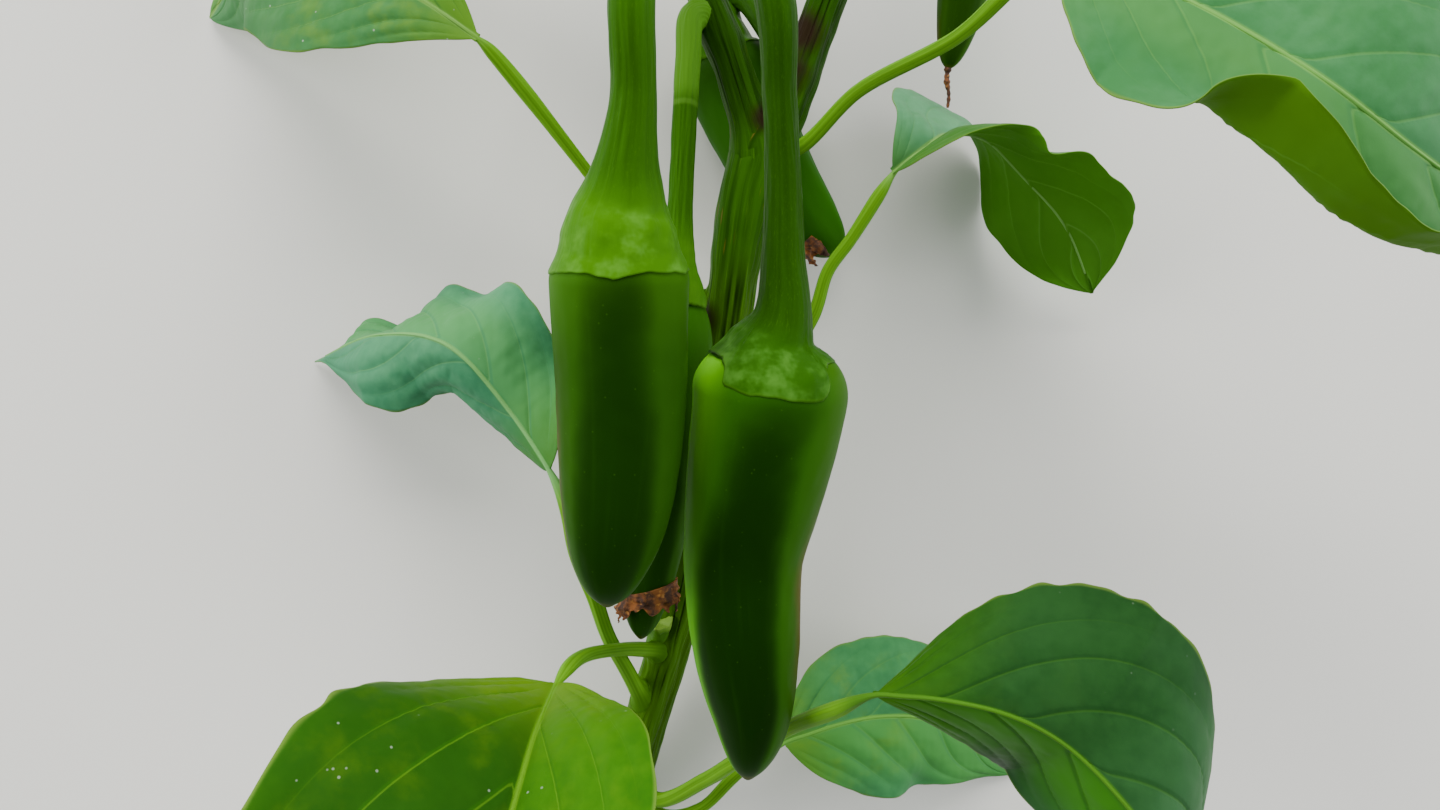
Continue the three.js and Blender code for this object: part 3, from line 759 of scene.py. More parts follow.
# A stalk: circles along its curve with soft ribs, kept above the pod where they go round it. Rows past its
# end follow the pod's skin to the rim, and turn under into the pod.
def stalkTube(stalk, seed):
    curve, pod = stalk["curve"], stalk["pod"]
    angle = turn(stalk["around"])[None, :]
    run = rimRun(stalk, angle, seed)
    rows = int((curve.length + stalk["rimRoom"]) / stalk["ringEvery"])
    far = np.linspace(0, 1, rows)[:, None] * (curve.length + run)
    angle = angle + 0 * far
    t = np.clip(far / curve.length, 0, 1)
    station = curve.at(t)
    side, front = across(curve.heading(t), layout["up"])
    lengthwise = unrolled(angle, far / stalk["stretch"])
    # The share of the pod's length beside each point, 0 above its top
    steps = np.linspace(0, 1, 200)
    podShares = np.linspace(0, stalk["podTo"], 301)
    gaps = np.linalg.norm(curve.at(steps)[:, None, :3] - pod["curve"].at(podShares), axis=-1)
    beside = np.interp(t, steps, podShares[gaps.argmin(1)])
    beside = np.where(far > curve.length - stalk["overPod"], beside, 0)
    start, full = stalk["cupSpan"]
    cup = ease(curve.length - start, curve.length - full, far)
    radius = station[..., 3] * (1 + stalk["ribHeight"] * (1 - cup) * np.cos(stalk["ribs"] * angle + seed))
    radius = radius + stalk["grain"] * unevenness(lengthwise * [1, 1, 2], stalk["grainSize"], seed)
    overPod = np.where(beside > stalk["podFrom"], podRadius(pod, beside) + stalk["skin"], 0)
    radius = np.maximum(radius, overPod)
    outward = side * np.cos(angle)[..., None] + front * np.sin(angle)[..., None]
    points = station[..., :3] + outward * radius[..., None]
    # Past the end, on the pod's skin
    past = np.maximum(0, far - curve.length)
    end = beside[-1, 0]
    last = station[-1, 0, 3] - podRadius(pod, np.array(end))
    fall = np.clip(past / stalk["lipSlope"], 0, 1)
    height = max(last, stalk["skin"]) * (1 - fall) + stalk["lip"] * fall
    skin = podSkin(pod, end + past / pod["curve"].length, angle, height)
    points = np.where((past > 0)[..., None], skin, points)
    near = np.exp(-(((far - curve.length) / stalk["eased"]) ** 2))[1:-1, :, None]
    for _ in range(stalk["easing"]):
        middle = (points[:-2] + 2 * points[1:-1] + points[2:]) / 4
        points[1:-1] += near * (middle - points[1:-1])
    crinkles = unevenness(points * [1.2, 0.8, 1.2], stalk["crinkleSize"], seed + 3)
    crinkles = crinkles + 0.45 * unevenness(points, stalk["crinkleFineSize"], seed + 4)
    crinkles = np.maximum(crinkles, stalk["crinkleFloor"]) + stalk["crinkleLift"]
    beforeRim = 1 - ease(stalk["crinkleTo"], 1, far / (curve.length + run))
    points = points + outward * (stalk["crinkle"] * cup * beforeRim * crinkles)[..., None]
    points = overSkin(points, pod, stalk["lip"])
    points = webbed(points, outward, limbCurves[stalk["limb"]], limbForm["footWeb"])
    under = []
    for height, ahead in stalk["buried"]:
        share = end + (run[0] + ahead) / pod["curve"].length
        share = np.maximum(share, stalk["podFrom"] / 2)
        under.append(podSkin(pod, share, angle[0], np.full_like(share, height)))
    points = np.concatenate([points, np.stack(under)])
    pad = ((0, len(under)), (0, 0))
    rim = ease(0, 1, 1 - (curve.length + run - far) / stalk["rimWidth"])
    rim = np.pad(rim, pad, constant_values=1)
    kind = np.stack([np.pad(cup, pad, mode="edge"), np.pad(far, pad, mode="edge"), rim], -1)
    return closedTube(points, lengthwise=np.pad(lengthwise, (*pad, (0, 0)), mode="edge"), kind=kind)


stalkLook = {
    "deep": (14, 44, 2),
    "dark": (36, 78, 1),
    "light": (46, 94, 3),
    "pale": (68, 114, 20),
    "rim": (70, 116, 18),
    "band": (88, 132, 44),
    "first": (46, 92, 6),
    "firstTo": (-9, -8),
    "bandAt": -9,
    "dim": 0.3,
    "cup": (44, 92, 3),
    # Painted sheen in pale patches on the cup
    "cupPaintedSheen": (60, 110, 18),
    "paintedSheenShare": 0.3,
    "rimPale": 0.3,
    "shine": 0.1,
}


# Smooth green skin with faint pale lengthwise streaks and fine pale dots. The cup is brighter, with a
# painted sheen in crinkled pale patches near its rim.
def stalkMaterial(name, look):
    s = Shader(f"stalkSkin_{name}")
    run = s.attribute("lengthwise")
    cup, far, rim = s.split(s.attribute("kind"))
    grain = s.noise(s.stretched(run, (1, 1, 0.2)), 0.3, 3.0, 0.55)
    streak = s.noise(s.stretched(run, (1.4, 1.4, 0.2)), 0.9, 3.0)
    speck = s.noise(s.stretched(run, (1, 1, 3)), 2.2, 3.0, 0.6)
    first = 1 - far.between(*look["firstTo"])
    # Painted sheen: pale patches on the cup
    patch = s.noise(s.place(), 200, 3.0, 0.6).between(0.42, 0.72) * look["paintedSheenShare"] * cup.between(0.5, 1.0)
    band = 1 - (far - look["bandAt"]).math("ABSOLUTE").between(0.2, 0.9)
    colour = s.layers(
        look["dark"],
        (grain.between(0.25, 0.75), look["light"]),
        (streak.between(0.56, 0.78) * 0.1, look["pale"]),
        (first * 0.6, look["first"]),
        ((1 - first) * look["dim"], look["deep"]),
        (speck.between(0.56, 0.72) * 0.3, look["pale"]),
        (cup, s.mix(patch, look["cup"], look["cupPaintedSheen"])),
        (rim.between(0.5, 1.0) * look["rimPale"], look["rim"]),
        (band * 0.45, look["band"]),
    )
    height = streak + s.noise(s.place(), 500, 3.0) * 0.8
    rough = grain * 0.2 + 0.34
    return s.finish(colour, rough, s.bump(height, 0.08), look["shine"], look["pale"])


# Leaves

# Each leaf: its petiole from limb to blade, its midrib from base to tip, the blade's width and where it is
# widest, and degrees spread evenly from base to tip. Roll turns the blade, fold lifts each half and curl
# bends it on. Some have more: the radius that the petiole ends in, how far the blade's heading is steadied
# along the midrib, how it swells, each half's share of the width, the shares of the right half's width
# between which it curls, a wave along the margins with its own count and phase on the left, how many veins
# leave the midrib on each side and how they lean, and how far the blade puffs up between them.
leaves = {
    "upper_left": {
        "petiole": [
            (-1.4, 17.2, -29.8), (-8, 25.5, -31.5), (-16.3, 33.5, -30), (-26.2, 46.1, -24),
            (-42.4, 65.6, -12),
        ],
        "midrib": [
            (-44.5, 67.5, -10), (-57, 75.5, -9), (-75.5, 82.5, -18), (-93, 93, -31), (-116, 88, -56.6),
        ],
        "width": 36, "widest": 0.5, "steady": 0.2, "roll": [-4, -2, -4],
        "fold": {"right": [0], "left": [10, 4, 0]}, "curl": {"right": [-20], "left": [-18]},
    },
    "middle_left": {
        "petiole": [
            (-15.6, -66.4, -45), (-18.5, -55.9, -34), (-22, -45.5, -24), (-24.1, -36.5, -18),
            (-27, -27.7, -15), (-28.7, -19.8, -15),
        ],
        "midrib": [
            (-32.4, -12.3, -15), (-40, -1.7, -18), (-51.5, 11, -18), (-70, 14.5, -33), (-92, 10, -56.6),
        ],
        "petioleEnd": 1.5, "width": 34, "widest": 0.37, "steady": 0.16, "roll": [0, -20, -75, -55],
        "fold": {"right": [12, -10], "left": [-45, -52, 12]}, "curl": {"right": [0], "left": [-58]},
        "wave": {"height": 3, "count": 4, "phase": 0.3, "leftCount": 2, "leftPhase": 2.9}, "quilt": 0.7,
    },
    "lower_left": {
        "petiole": [
            (-11.3, -52.6, -41.5), (-16, -49.4, -30), (-20.1, -46.8, -18), (-24.7, -45.3, -6),
            (-26.6, -46, 1),
        ],
        "midrib": [
            (-27.9, -47.3, 5), (-28, -50, 27), (-29, -57, 39.5), (-31, -66, 51), (-33, -84, 52),
            (-36, -102, 43), (-38, -112, 32),
        ],
        "width": 65, "widest": 0.47, "share": {"right": 1, "left": 0.69}, "steady": 0.12, "roll": [4, 0, 0],
        "fold": {"right": [8, 18, 26, 26, 17, 9, 3, 2, 0], "left": [14, 26, 28, 30, 34, 32, 30, 30, 30]},
        "curl": {"right": [-12], "left": [-6]}, "wave": {"height": 1.5, "count": 3, "phase": 1}, "veins": 5,
        "veinLean": (0.5, 0.2),
    },
    "lower_right": {
        "petiole": [
            (-19.8, -80.3, -49.4), (-14.2, -85.5, -46), (-3.1, -77.6, -35), (2.6, -71.8, -28),
            (12.4, -62.2, -18), (20.6, -53.1, 0),
        ],
        "midrib": [
            (25.3, -48.3, 9), (35.6, -47.3, 16), (46.5, -49.3, 19), (56.6, -55.5, 18), (66, -66, 21),
            (75, -80.5, 12),
        ],
        "petioleEnd": 1.5, "width": 55, "widest": 0.52, "swell": 2.2, "share": {"right": 0.85, "left": 1},
        "steady": 0.25, "roll": [10, 2, 2],
        "fold": {"right": [-50, -57, -60, -52, -45], "left": [-16, 6, -18]},
        "curl": {"right": [-8], "left": [-32]}, "wave": {"height": 1.2, "count": 3, "phase": 2}, "veins": 5,
        "veinLean": (0.45, 0.25), "quilt": 0.35,
    },
    "low_behind": {
        "petiole": [(-21.5, -86, -50.4), (-12, -90, -48), (-4.3, -87.2, -45), (4.2, -77.6, -40)],
        "midrib": [
            (13.4, -70.3, -36), (25, -66.4, -36), (34, -65.7, -39), (45.5, -68, -44), (67.5, -84, -56.8),
        ],
        "width": 34, "widest": 0.38, "steady": 0.14, "roll": [0, 10, 4],
        "fold": {"right": [2, 6], "left": [3, -6]}, "curl": {"right": [-13], "left": [-27]}, "quilt": 0.6,
    },
    "middle_right": {
        "petiole": [
            (-1.4, -6.1, -32), (9, 4, -31.5), (18.5, 17.6, -28), (21.6, 26.8, -27), (26, 33, -26),
            (31.6, 41.7, -25),
        ],
        "midrib": [
            (34.2, 46.1, -25), (41.5, 51.5, -22), (46, 54.4, -28), (54.8, 54.8, -34), (62.8, 48.6, -37.5),
            (73.1, 38.2, -40.5), (81.3, 24.5, -47.5),
        ],
        "width": 41, "widest": 0.5, "steady": 0.1, "roll": [0, 40, 85, 135, 185],
        "fold": {"right": [74, 26, 0, -4], "left": [6]}, "curl": {"right": [-10], "left": [-5]},
        "wave": {"height": 1, "count": 4, "phase": 0},
    },
    "upper_right": {
        "petiole": [(8, 51.6, -30), (15.3, 50.7, -25), (25.7, 57.9, -10), (40.1, 61.9, 8), (46.3, 66, 19)],
        "midrib": [
            (50, 69.5, 26), (57, 65, 30), (67, 57.5, 35), (74.6, 52.5, 36.5), (84.5, 44.7, 39),
            (98, 36.1, 36.4), (119, 29, 24.4), (131, 24, 16),
        ],
        "width": 53, "widest": 0.42, "roll": [12, 2, -5], "fold": {"right": [30, -4, -9], "left": [0]},
        "curl": {"right": [-10, -12, 116, 104, 150, 60], "left": [-10]}, "curlSpan": (0.45, 0.7),
        "veins": 7, "quilt": 0.4,
    },
}
bladeForm = {
    "across": 72,  # faces over the blade's width
    "rows": 230,
    "crowding": 1.15,  # of the faces towards the midrib
    "thickness": 0.42,
    "swell": 1.8,
    "share": {"right": 1, "left": 1},
    "steady": 0.004,
    "curlSpan": (0, 1),
    "petioleEnd": 1.25,
    "leastBase": 0.9,
    "leastTip": 0.35,
    "wave": {"height": 1, "count": 3, "phase": 0},
    "waveLag": 1.3,  # of the left margin, in radians
    "waveFrom": 6,  # half width from which it is full
    "veins": 6,
    "veinLean": (0.26, 0.2),  # how far a vein runs on towards the tip: near the midrib, and at the margin
    "veinLag": 0.42,  # of the right half's veins
    "veinCrowding": 0.9,
    "veinSlant": 0.8,  # distance across a vein for one along the midrib
    "veinsFrom": (0.02, 0.1),  # shares of the length where side veins begin and are full
    "veinWidth": 0.55,
    "midribWidth": 1.1,
    "groove": 0.2,
    "ridge": 0.3,
    "quilt": 0.5,
    "quiltSize": 14,
    "quiltFrom": (0.5, 5),  # distances from the midrib where the puffs begin and are full
    "quiltEnds": (0.12, 0.85),  # shares of the length between which they are full
    "pucker": 0.07,
    "puckerSizes": (4.2, 2.3),
    "ragged": 0.012,  # of the half's width, at the margin
    "raggedSize": 6,
}
leaves = {name: {**bladeForm, **leaf, "curve": Curve(leaf["midrib"])} for name, leaf in leaves.items()}
petioleForm = {
    "limb": 1.7,
    "foot": (0.15, 5),  # how much and how far it is thicker by the limb
    "midribEnd": 0.24,
    "midribTo": 0.93,  # share of the blade's length
    "midribStart": 0.5,
    "midribStations": 14,
    "standsOut": 0.14,  # of the midrib over the blade's middle
    "narrowing": 0.5,
    "bumps": (0.05, 5),  # how high, of the radius, and how long
    "stretch": 6,
    "girth": 8,
    "footTo": (5, 14),  # distances from the limb where the foot's colour begins to fade and is gone
    "bladeOver": 8,  # distance on the blade over which its colour becomes the midrib's
    "around": 28,
    "ringEvery": 0.5,
}


# Half the blade's width at t: t to a power times (1 - t) to another, so cuneate below and drawn out above
def halfWidth(leaf, t):
    rise = leaf["swell"] * leaf["widest"]
    fall = leaf["swell"] - rise
    full = leaf["widest"] ** rise * (1 - leaf["widest"]) ** fall
    least = leaf["leastBase"] * (1 - t) + leaf["leastTip"] * t
    return np.maximum(leaf["width"] / 2 * t**rise * (1 - t) ** fall / full, least)


# The blade's middle surface on a grid: u from -1 at the left margin to 1 at the right, t from base to tip.
# Each half goes straight up at its fold, along an arc over its curl's span, and straight on, and waves
# along its margin.
def bladeSurface(leaf, u, t):
    centre = leaf["curve"].at(t)
    heading = leaf["curve"].heading(t, leaf["steady"])
    flat = unit(np.cross(heading, layout["up"]))
    upright = np.cross(flat, heading)
    roll = np.radians(spread(leaf["roll"], t))[:, None]
    side = flat * np.cos(roll) + upright * np.sin(roll)
    face = np.cross(side, heading)
    points = np.zeros((len(t), len(u), 3))
    for hand, mine, sign in (("left", u < 0, -1), ("right", u >= 0, 1)):
        half = halfWidth(leaf, t)[:, None] * leaf["share"][hand]
        reach = np.abs(u[mine])[None, :]
        fold = np.radians(spread(leaf["fold"][hand], t))[:, None]
        curl = np.radians(spread(leaf["curl"][hand], t))[:, None]
        curl = np.where(np.abs(curl) < 0.001, 0.001, curl)
        start, stop = leaf["curlSpan"] if hand == "right" else (0, 1)
        plain = np.minimum(reach, start)
        bent = fold + np.clip((reach - start) / (stop - start), 0, 1) * curl
        rest = np.maximum(0, reach - stop)
        radius = (stop - start) / curl
        out = plain * np.cos(fold) + radius * (np.sin(bent) - np.sin(fold)) + rest * np.cos(fold + curl)
        rise = plain * np.sin(fold) + radius * (np.cos(fold) - np.cos(bent)) + rest * np.sin(fold + curl)
        wave = leaf["wave"]
        count, phase = wave["count"], wave["phase"]
        if hand == "left":
            count = wave.get("leftCount", count)
            phase = wave.get("leftPhase", phase + leaf["waveLag"])
        swing = wave["height"] * np.sin(2 * math.pi * count * t + phase)[:, None]
        ripple = swing * reach**2 * np.minimum(1, half / leaf["waveFrom"])
        over = side[:, None] * (sign * out * half)[..., None]
        points[:, mine] = centre[:, None] + over + face[:, None] * (rise * half + ripple)[..., None]
    return points


# Outward directions of a grid, from the steps along its rows and columns
def gridNormals(points):
    return unit(np.cross(np.gradient(points, axis=1), np.gradient(points, axis=0)))


# A leaf: the blade as a closed sleeve, its upper face from the left margin to the right and its lower face
# back again, puffed between its veins, and its petiole as a tube that runs on as the midrib
def leafTubes(leaf, seed):
    curve, shares = leaf["curve"], leaf["share"]
    u = np.linspace(-1, 1, leaf["across"] + 1)
    u = np.sign(u) * np.abs(u) ** leaf["crowding"]
    t = np.linspace(0, 1, leaf["rows"])
    middle = bladeSurface(leaf, u, t)
    normal = gridNormals(middle)
    reach = np.abs(u)[None, :] + 0 * t[:, None]
    share = t[:, None] + 0 * reach
    aside = (u * np.where(u < 0, shares["left"], shares["right"]))[None, :] * halfWidth(leaf, t)[:, None]
    near, further = leaf["veinLean"]
    lean = near * reach + further * reach**3
    lag = leaf["veinLag"] * np.clip(u * 12 + 0.5, 0, 1)[None, :]
    phase = leaf["veins"] * (share ** leaf["veinCrowding"] - lean) + lag
    spacing = curve.length / leaf["veins"]
    offVein = np.abs(phase - np.round(phase)) * spacing * leaf["veinSlant"]
    sideVein = np.exp(-((offVein / leaf["veinWidth"]) ** 2)) * (1 - reach**4)
    sideVein = sideVein * ease(*leaf["veinsFrom"], share)
    midVein = np.exp(-((aside / leaf["midribWidth"]) ** 2))
    # Puffed between the veins, less so at the midrib, the margin and both ends
    puff = (0.5 - 0.5 * np.cos(2 * math.pi * phase)) ** 0.7
    start, stop = leaf["quiltEnds"]
    inner = ease(*leaf["quiltFrom"], np.abs(aside)) * (1 - reach**3)
    inner = inner * ease(0, start, share) * ease(1, stop, share)
    quilt = leaf["quilt"] * puff * (0.75 + 0.35 * unevenness(middle, leaf["quiltSize"], seed))
    pucker = leaf["pucker"] * crumpled(middle, *leaf["puckerSizes"], seed + 1)
    lift = (quilt + pucker * (0.4 + leaf["quilt"])) * inner
    thick = leaf["thickness"] / 2 * (0.5 + 0.5 * (1 - reach**6))
    groove = leaf["groove"] * (sideVein + 1.4 * midVein)
    ridge = leaf["ridge"] * sideVein * (1.3 - reach)
    top = middle + normal * (lift + thick - groove)[..., None]
    bottom = middle + normal * (lift - thick - ridge)[..., None]
    ragged = leaf["ragged"] * unevenness(middle, leaf["raggedSize"], seed + 4)
    for column in (0, -1):
        shift = (middle[:, column] - curve.at(t)) * ragged[:, column, None]
        top[:, column] += shift
        bottom[:, column] += shift

    def both(values):
        return np.concatenate([values, values[:, ::-1]], axis=1)

    under = np.concatenate([0 * reach, 0 * reach + 1], axis=1)
    place = np.stack([both(aside), both(phase), both(share)], -1)
    kind = np.stack([under, 0 * under, both(reach)], -1)
    points = np.concatenate([top, bottom[:, ::-1]], axis=1)
    return [closedTube(points, leafPlace=place, leafKind=kind), petioleTube(leaf, middle, normal, t, seed)]


# The petiole: circles along it that run on under the blade's middle as its midrib, and taper towards its tip
def petioleTube(leaf, middle, normal, t, seed):
    form = petioleForm
    count = len(leaf["petiole"])
    share = np.minimum(1, 2 * np.arange(count) / (count - 1))
    radii = form["limb"] * (1 - share) + leaf["petioleEnd"] * share
    bare = np.column_stack([np.array(leaf["petiole"]), radii])
    along = np.linspace(0.01, form["midribTo"], form["midribStations"])
    row = np.round(along * (len(t) - 1)).astype(int)
    column = middle.shape[1] // 2
    thinner = (along / form["midribTo"]) ** form["narrowing"]
    taper = form["midribStart"] + (form["midribEnd"] - form["midribStart"]) * thinner
    covered = middle[row, column] + normal[row, column] * (form["standsOut"] - taper)[:, None]
    path = Curve(np.vstack([bare, np.column_stack([covered, taper])]))
    s = np.linspace(0, 1, int(path.length / form["ringEvery"]))
    uprights = np.eye(3)
    upright = uprights[np.abs(path.heading(s) @ uprights).max(0).argmin()]
    station, _, side, front, angle = tubeFrame(path, s, form["around"], upright)
    far = (s * path.length)[:, None] + 0 * angle
    lengthwise = unrolled(angle, far / form["stretch"], form["girth"])
    more, reach = form["foot"]
    foot = 1 + more * np.exp(-((far / reach) ** 2))
    height, size = form["bumps"]
    radius = station[:, 3:4] * foot * (1 + height * unevenness(lengthwise, size, seed))
    points, outward = rings(station, side, front, radius, angle)
    for limb in limbCurves.values():
        points = webbed(points, outward, limb, limbForm["footWeb"])
    onBlade = ease(0, 1, (far - Curve(bare).length) / form["bladeOver"])
    byLimb = 1 - ease(*form["footTo"], far)
    return closedTube(points, leafPlace=lengthwise, leafKind=np.stack([byLimb, 0 * angle + 1, onBlade], -1))


# How each leaf is coloured: the deeper and the lighter green of its face, blue-tinged on some leaves by a
# painted reflection of the sky, its green at the base and up to which share of the length, at the tip, where
# the lower right leaf's lighter green is a painted sheen, and near the midrib on the right, painted light on
# some leaves and painted shade on others, its veins and its underside, olive partly as painted light coming
# through, and how much it is mottled with yellow, speckled with white and shows its side veins
leafLooks = {
    "upper_left": {
        "deep": (52, 110, 56), "face": (70, 130, 72), "lit": (84, 144, 46), "vein": (118, 166, 74),
        "base": (84, 132, 34), "baseTo": (0.0, 0.2), "tip": (66, 126, 72), "under": (84, 120, 14),
        "mottle": 0.5, "specks": 0.6, "veinShow": 0.25,
    },
    "middle_left": {
        "deep": (52, 118, 82), "face": (78, 148, 102), "lit": (80, 148, 82), "base": (58, 110, 26),
        "baseTo": (0.04, 0.24), "tip": (66, 132, 98), "vein": (112, 172, 96), "under": (70, 112, 4),
        "mottle": 0.05, "specks": 0.1, "veinShow": 0.25,
    },
    "lower_left": {
        "deep": (40, 96, 8), "face": (58, 116, 12), "lit": (26, 68, 12), "litTo": (24, 44),
        "base": (92, 134, 8), "baseTo": (0.02, 0.3), "tip": (56, 112, 14), "vein": (98, 150, 26),
        "under": (86, 126, 34), "mottle": 0.25, "specks": 0.4, "veinShow": 0.4,
    },
    "lower_right": {
        "deep": (22, 60, 24), "face": (36, 78, 34), "lit": (54, 120, 14), "litTo": (5, 22),
        "base": (50, 100, 6), "baseTo": (0.06, 0.34), "tip": (62, 108, 66), "vein": (72, 122, 28),
        "under": (80, 108, 10), "mottle": 0.04, "specks": 0.1, "veinShow": 0.18,
    },
    "low_behind": {
        "deep": (54, 116, 70), "face": (72, 142, 84), "lit": (72, 142, 62), "vein": (104, 164, 66),
        "base": (80, 136, 46), "baseTo": (0.0, 0.25), "tip": (62, 126, 80), "under": (78, 116, 26),
        "mottle": 0.4, "specks": 0.05, "veinShow": 0.2,
    },
    "middle_right": {
        "deep": (74, 134, 90), "face": (92, 154, 110), "lit": (56, 104, 8), "litTo": (16, 30),
        "base": (70, 126, 50), "baseTo": (0.0, 0.14), "tip": (80, 140, 96), "vein": (120, 170, 84),
        "under": (62, 124, 1), "mottle": 0.1, "specks": 0.0, "veinShow": 0.2,
    },
    "upper_right": {
        "deep": (56, 118, 64), "face": (72, 134, 82), "lit": (74, 134, 66), "base": (72, 134, 64),
        "baseTo": (0.0, 0.2), "tip": (62, 124, 76), "vein": (112, 170, 78), "under": (68, 112, 1),
        "mottle": 0.05, "specks": 0.0, "veinShow": 0.25,
    },
}
leafFinish = {
    "yellow": (118, 152, 8),
    "margin": (124, 156, 60),
    "petiole": (104, 160, 28),
    "petioleDark": (78, 128, 12),
    "channel": (128, 170, 50),
    "foot": (54, 98, 5),
    "speck": (190, 204, 180),
    # Painted light and shade beside the midrib
    "litTo": (6, 16),  # how far from the midrib the green beside it stays and ends
    "glow": (0.14, (100, 170, 8)),
    "shine": 0.08,
    "sheen": (170, 226, 160),
}


# A leaf's blade: two greens in soft patches, blue-tinged on some leaves as a painted reflection of the sky,
# others at its base and tip, with a painted sheen at the tip of one, and painted light and shade beside its
# midrib, yellow mottling towards the base, pale veins with a dark line beside each, a pale margin, white
# specks, and a plainer olive underside, partly painted light coming through. Its petiole is streaked, and
# greener where it leaves the stem.
def leafMaterial(name, look, leaf, seed):
    s = Shader(f"blade_{name}")
    aside, phase, share = s.split(s.attribute("leafPlace"))
    under, rib, reach = s.split(s.attribute("leafKind"))
    place = s.node("ShaderNodeMapping", inputs={"Vector": s.place(), "Location": (seed, seed, 0)})
    spacing = leaf["curve"].length / leaf["veins"] * leaf["veinSlant"]
    inner = (1 - reach.between(0.5, 0.95)) * share.between(0.02, 0.12)
    sideVein = (1 - (phase.offWhole() * spacing).between(0.08, 0.4)) * inner
    besideVein = (1 - ((phase + 0.55 / spacing).offWhole() * spacing).between(0.15, 0.8)) * inner
    midVein = 1 - aside.math("ABSOLUTE").between(0.3, 0.7)
    patches = s.noise(place, 42, 3.0)
    fine = s.noise(place, 420, 4.0, 0.6)
    blend = (patches * 0.75 + fine * 0.42).between(0.38, 0.8)
    # Painted light and shade beside the midrib on one side, lighter on some leaves and darker on others
    paintedLightAndShadeByMidrib = aside.between(-1.0, 1.5) * (1 - aside.between(*look["litTo"]))
    blotch = s.noise(place, 130, 4.0, 0.6).between(0.48, 0.8)
    yellow = blotch * (1 - share.between(0.15, 0.7)) + (1 - share.between(0.03, 0.16)) * 0.4
    specks = (1 - s.cells(place, 300).between(0.04, 0.08)) * s.noise(place, 50, 1.0).between(0.45, 0.6)
    # On some leaves the deep and face greens are blue-tinged as a painted reflection of the sky
    face = s.layers(
        look["deep"],
        (blend, look["face"]),
        # On the lower right leaf the lighter tip green is a painted sheen
        (share.between(0.45, 0.95) * patches.between(0.3, 0.6), look["tip"]),
        (paintedLightAndShadeByMidrib * 0.8, look["lit"]),
        ((1 - share.between(*look["baseTo"])) * (blend * 0.3 + 0.6), look["base"]),
        (yellow * look["mottle"], look["yellow"]),
        (besideVein * 0.45, look["deep"]),
        (sideVein * look["veinShow"], look["vein"]),
        (midVein * 0.8, look["vein"]),
        (reach.between(0.975, 1.0) * 0.6, look["margin"]),
        (specks * look["specks"], look["speck"]),
    )
    # The olive underside is partly the leaf's own paler green and partly painted light coming through it
    below = s.layers(
        look["under"],
        (patches.between(0.35, 0.7) * 0.15, look["vein"]),
        (sideVein * 0.25, look["vein"]),
    )
    # On the petiole, the place runs round and along it, and what is the underside on the blade is its foot
    streak = s.noise(s.stretched(s.attribute("leafPlace"), (1, 1, 0.12)), 0.3, 3.0)
    stalk = s.layers(
        look["petioleDark"],
        (streak.between(0.36, 0.62), look["petiole"]),
        (streak.between(0.6, 0.75) * 0.6, look["channel"]),
        (reach, look["vein"]),
        (under * 0.85, look["foot"]),
    )
    colour = s.layers(face, (under, below), (rib, stalk))
    height = fine * 0.5 + (patches - sideVein * 0.4) * (1 - rib)
    rough = fine * 0.16 + 0.42 + under * 0.16
    return s.finish(colour, rough, s.bump(height, 0.08), look["shine"], look["sheen"], look["glow"])


# Dried remains of the flowers

driedLook = {"brown": (132, 74, 18), "dark": (56, 26, 8), "straw": (186, 124, 50)}


# Brown blotches on dark brown, with straw-coloured flecks
def driedMaterial(look):
    s = Shader("driedPetal")
    blotch = s.noise(s.place(), 380, 4.0, 0.65)
    straws = s.noise(s.place(), 900, 2.0).between(0.58, 0.75) * 0.8
    colour = s.layers(look["dark"], (blotch.between(0.4, 0.62), look["brown"]), (straws, look["straw"]))
    return s.finish(colour, 0.8, s.bump(blotch, 0.3))


# A torn ring of dried petals round a pod, or a part of one: a crumpled band that starts at a share of the
# pod's length, later by tilt on the left, whose free edge is torn into lobes and curls away from the skin. A
# part is told by the angle of its middle and the half of its width, and the rest lies under the skin.
petalForm = {
    "around": 220,
    "rows": 26,
    "thickness": 0.16,
    "frayed": (0.22, 4),  # how much and how widely the free edge is frayed
    "torn": (0.62, 0.38),  # the reach between lobes, and what a lobe adds
    "least": 0.04,  # reach of a part that is hidden
    "hideOver": 0.5,
    "lift": 0.25,
    "crumple": 0.55,
    "crumpleSizes": (3.2, 1.4),
    "podEnd": 0.995,  # share of the pod's length past which the band goes straight on
}

def petalRing(pod, start, tilt, reach, lobes, flare, seed, part=(0, 4)):
    form, curve = petalForm, pod["curve"]
    angle = turn(form["around"])
    much, size = form["frayed"]
    frayed = much * unevenness(unrolled(angle, 0 * angle), size, seed)
    middle, half = part
    off = np.abs((angle - middle + math.pi) % (2 * math.pi) - math.pi)
    hidden = ease(half, half + form["hideOver"], off)
    between, lobe = form["torn"]
    torn = between + lobe * np.abs(np.sin(lobes * angle / 2 + seed)) + frayed
    torn = np.maximum(torn * (1 - hidden), form["least"])
    step = np.linspace(0, 1, form["rows"])[:, None]
    on = start + tilt * np.cos(angle) + reach * torn * step / curve.length
    lean = angle + 0 * step
    onPod = np.clip(on, 0, form["podEnd"])
    crumple = form["crumple"] * crumpled(podSkin(pod, onPod, lean, 0 * on), *form["crumpleSizes"], seed + 1)
    height = form["lift"] + flare * step**2 * torn + (crumple + 0.5) * step
    height = height * (1 - hidden) - hidden
    past = np.maximum(0, on - form["podEnd"]) * curve.length
    ahead = past[..., None] * curve.heading(np.array([1.0]))[0]
    outer, inner = (podSkin(pod, onPod, lean, height + up) + ahead for up in (form["thickness"], 0))
    return closedTube(np.concatenate([outer, inner[::-1]]))


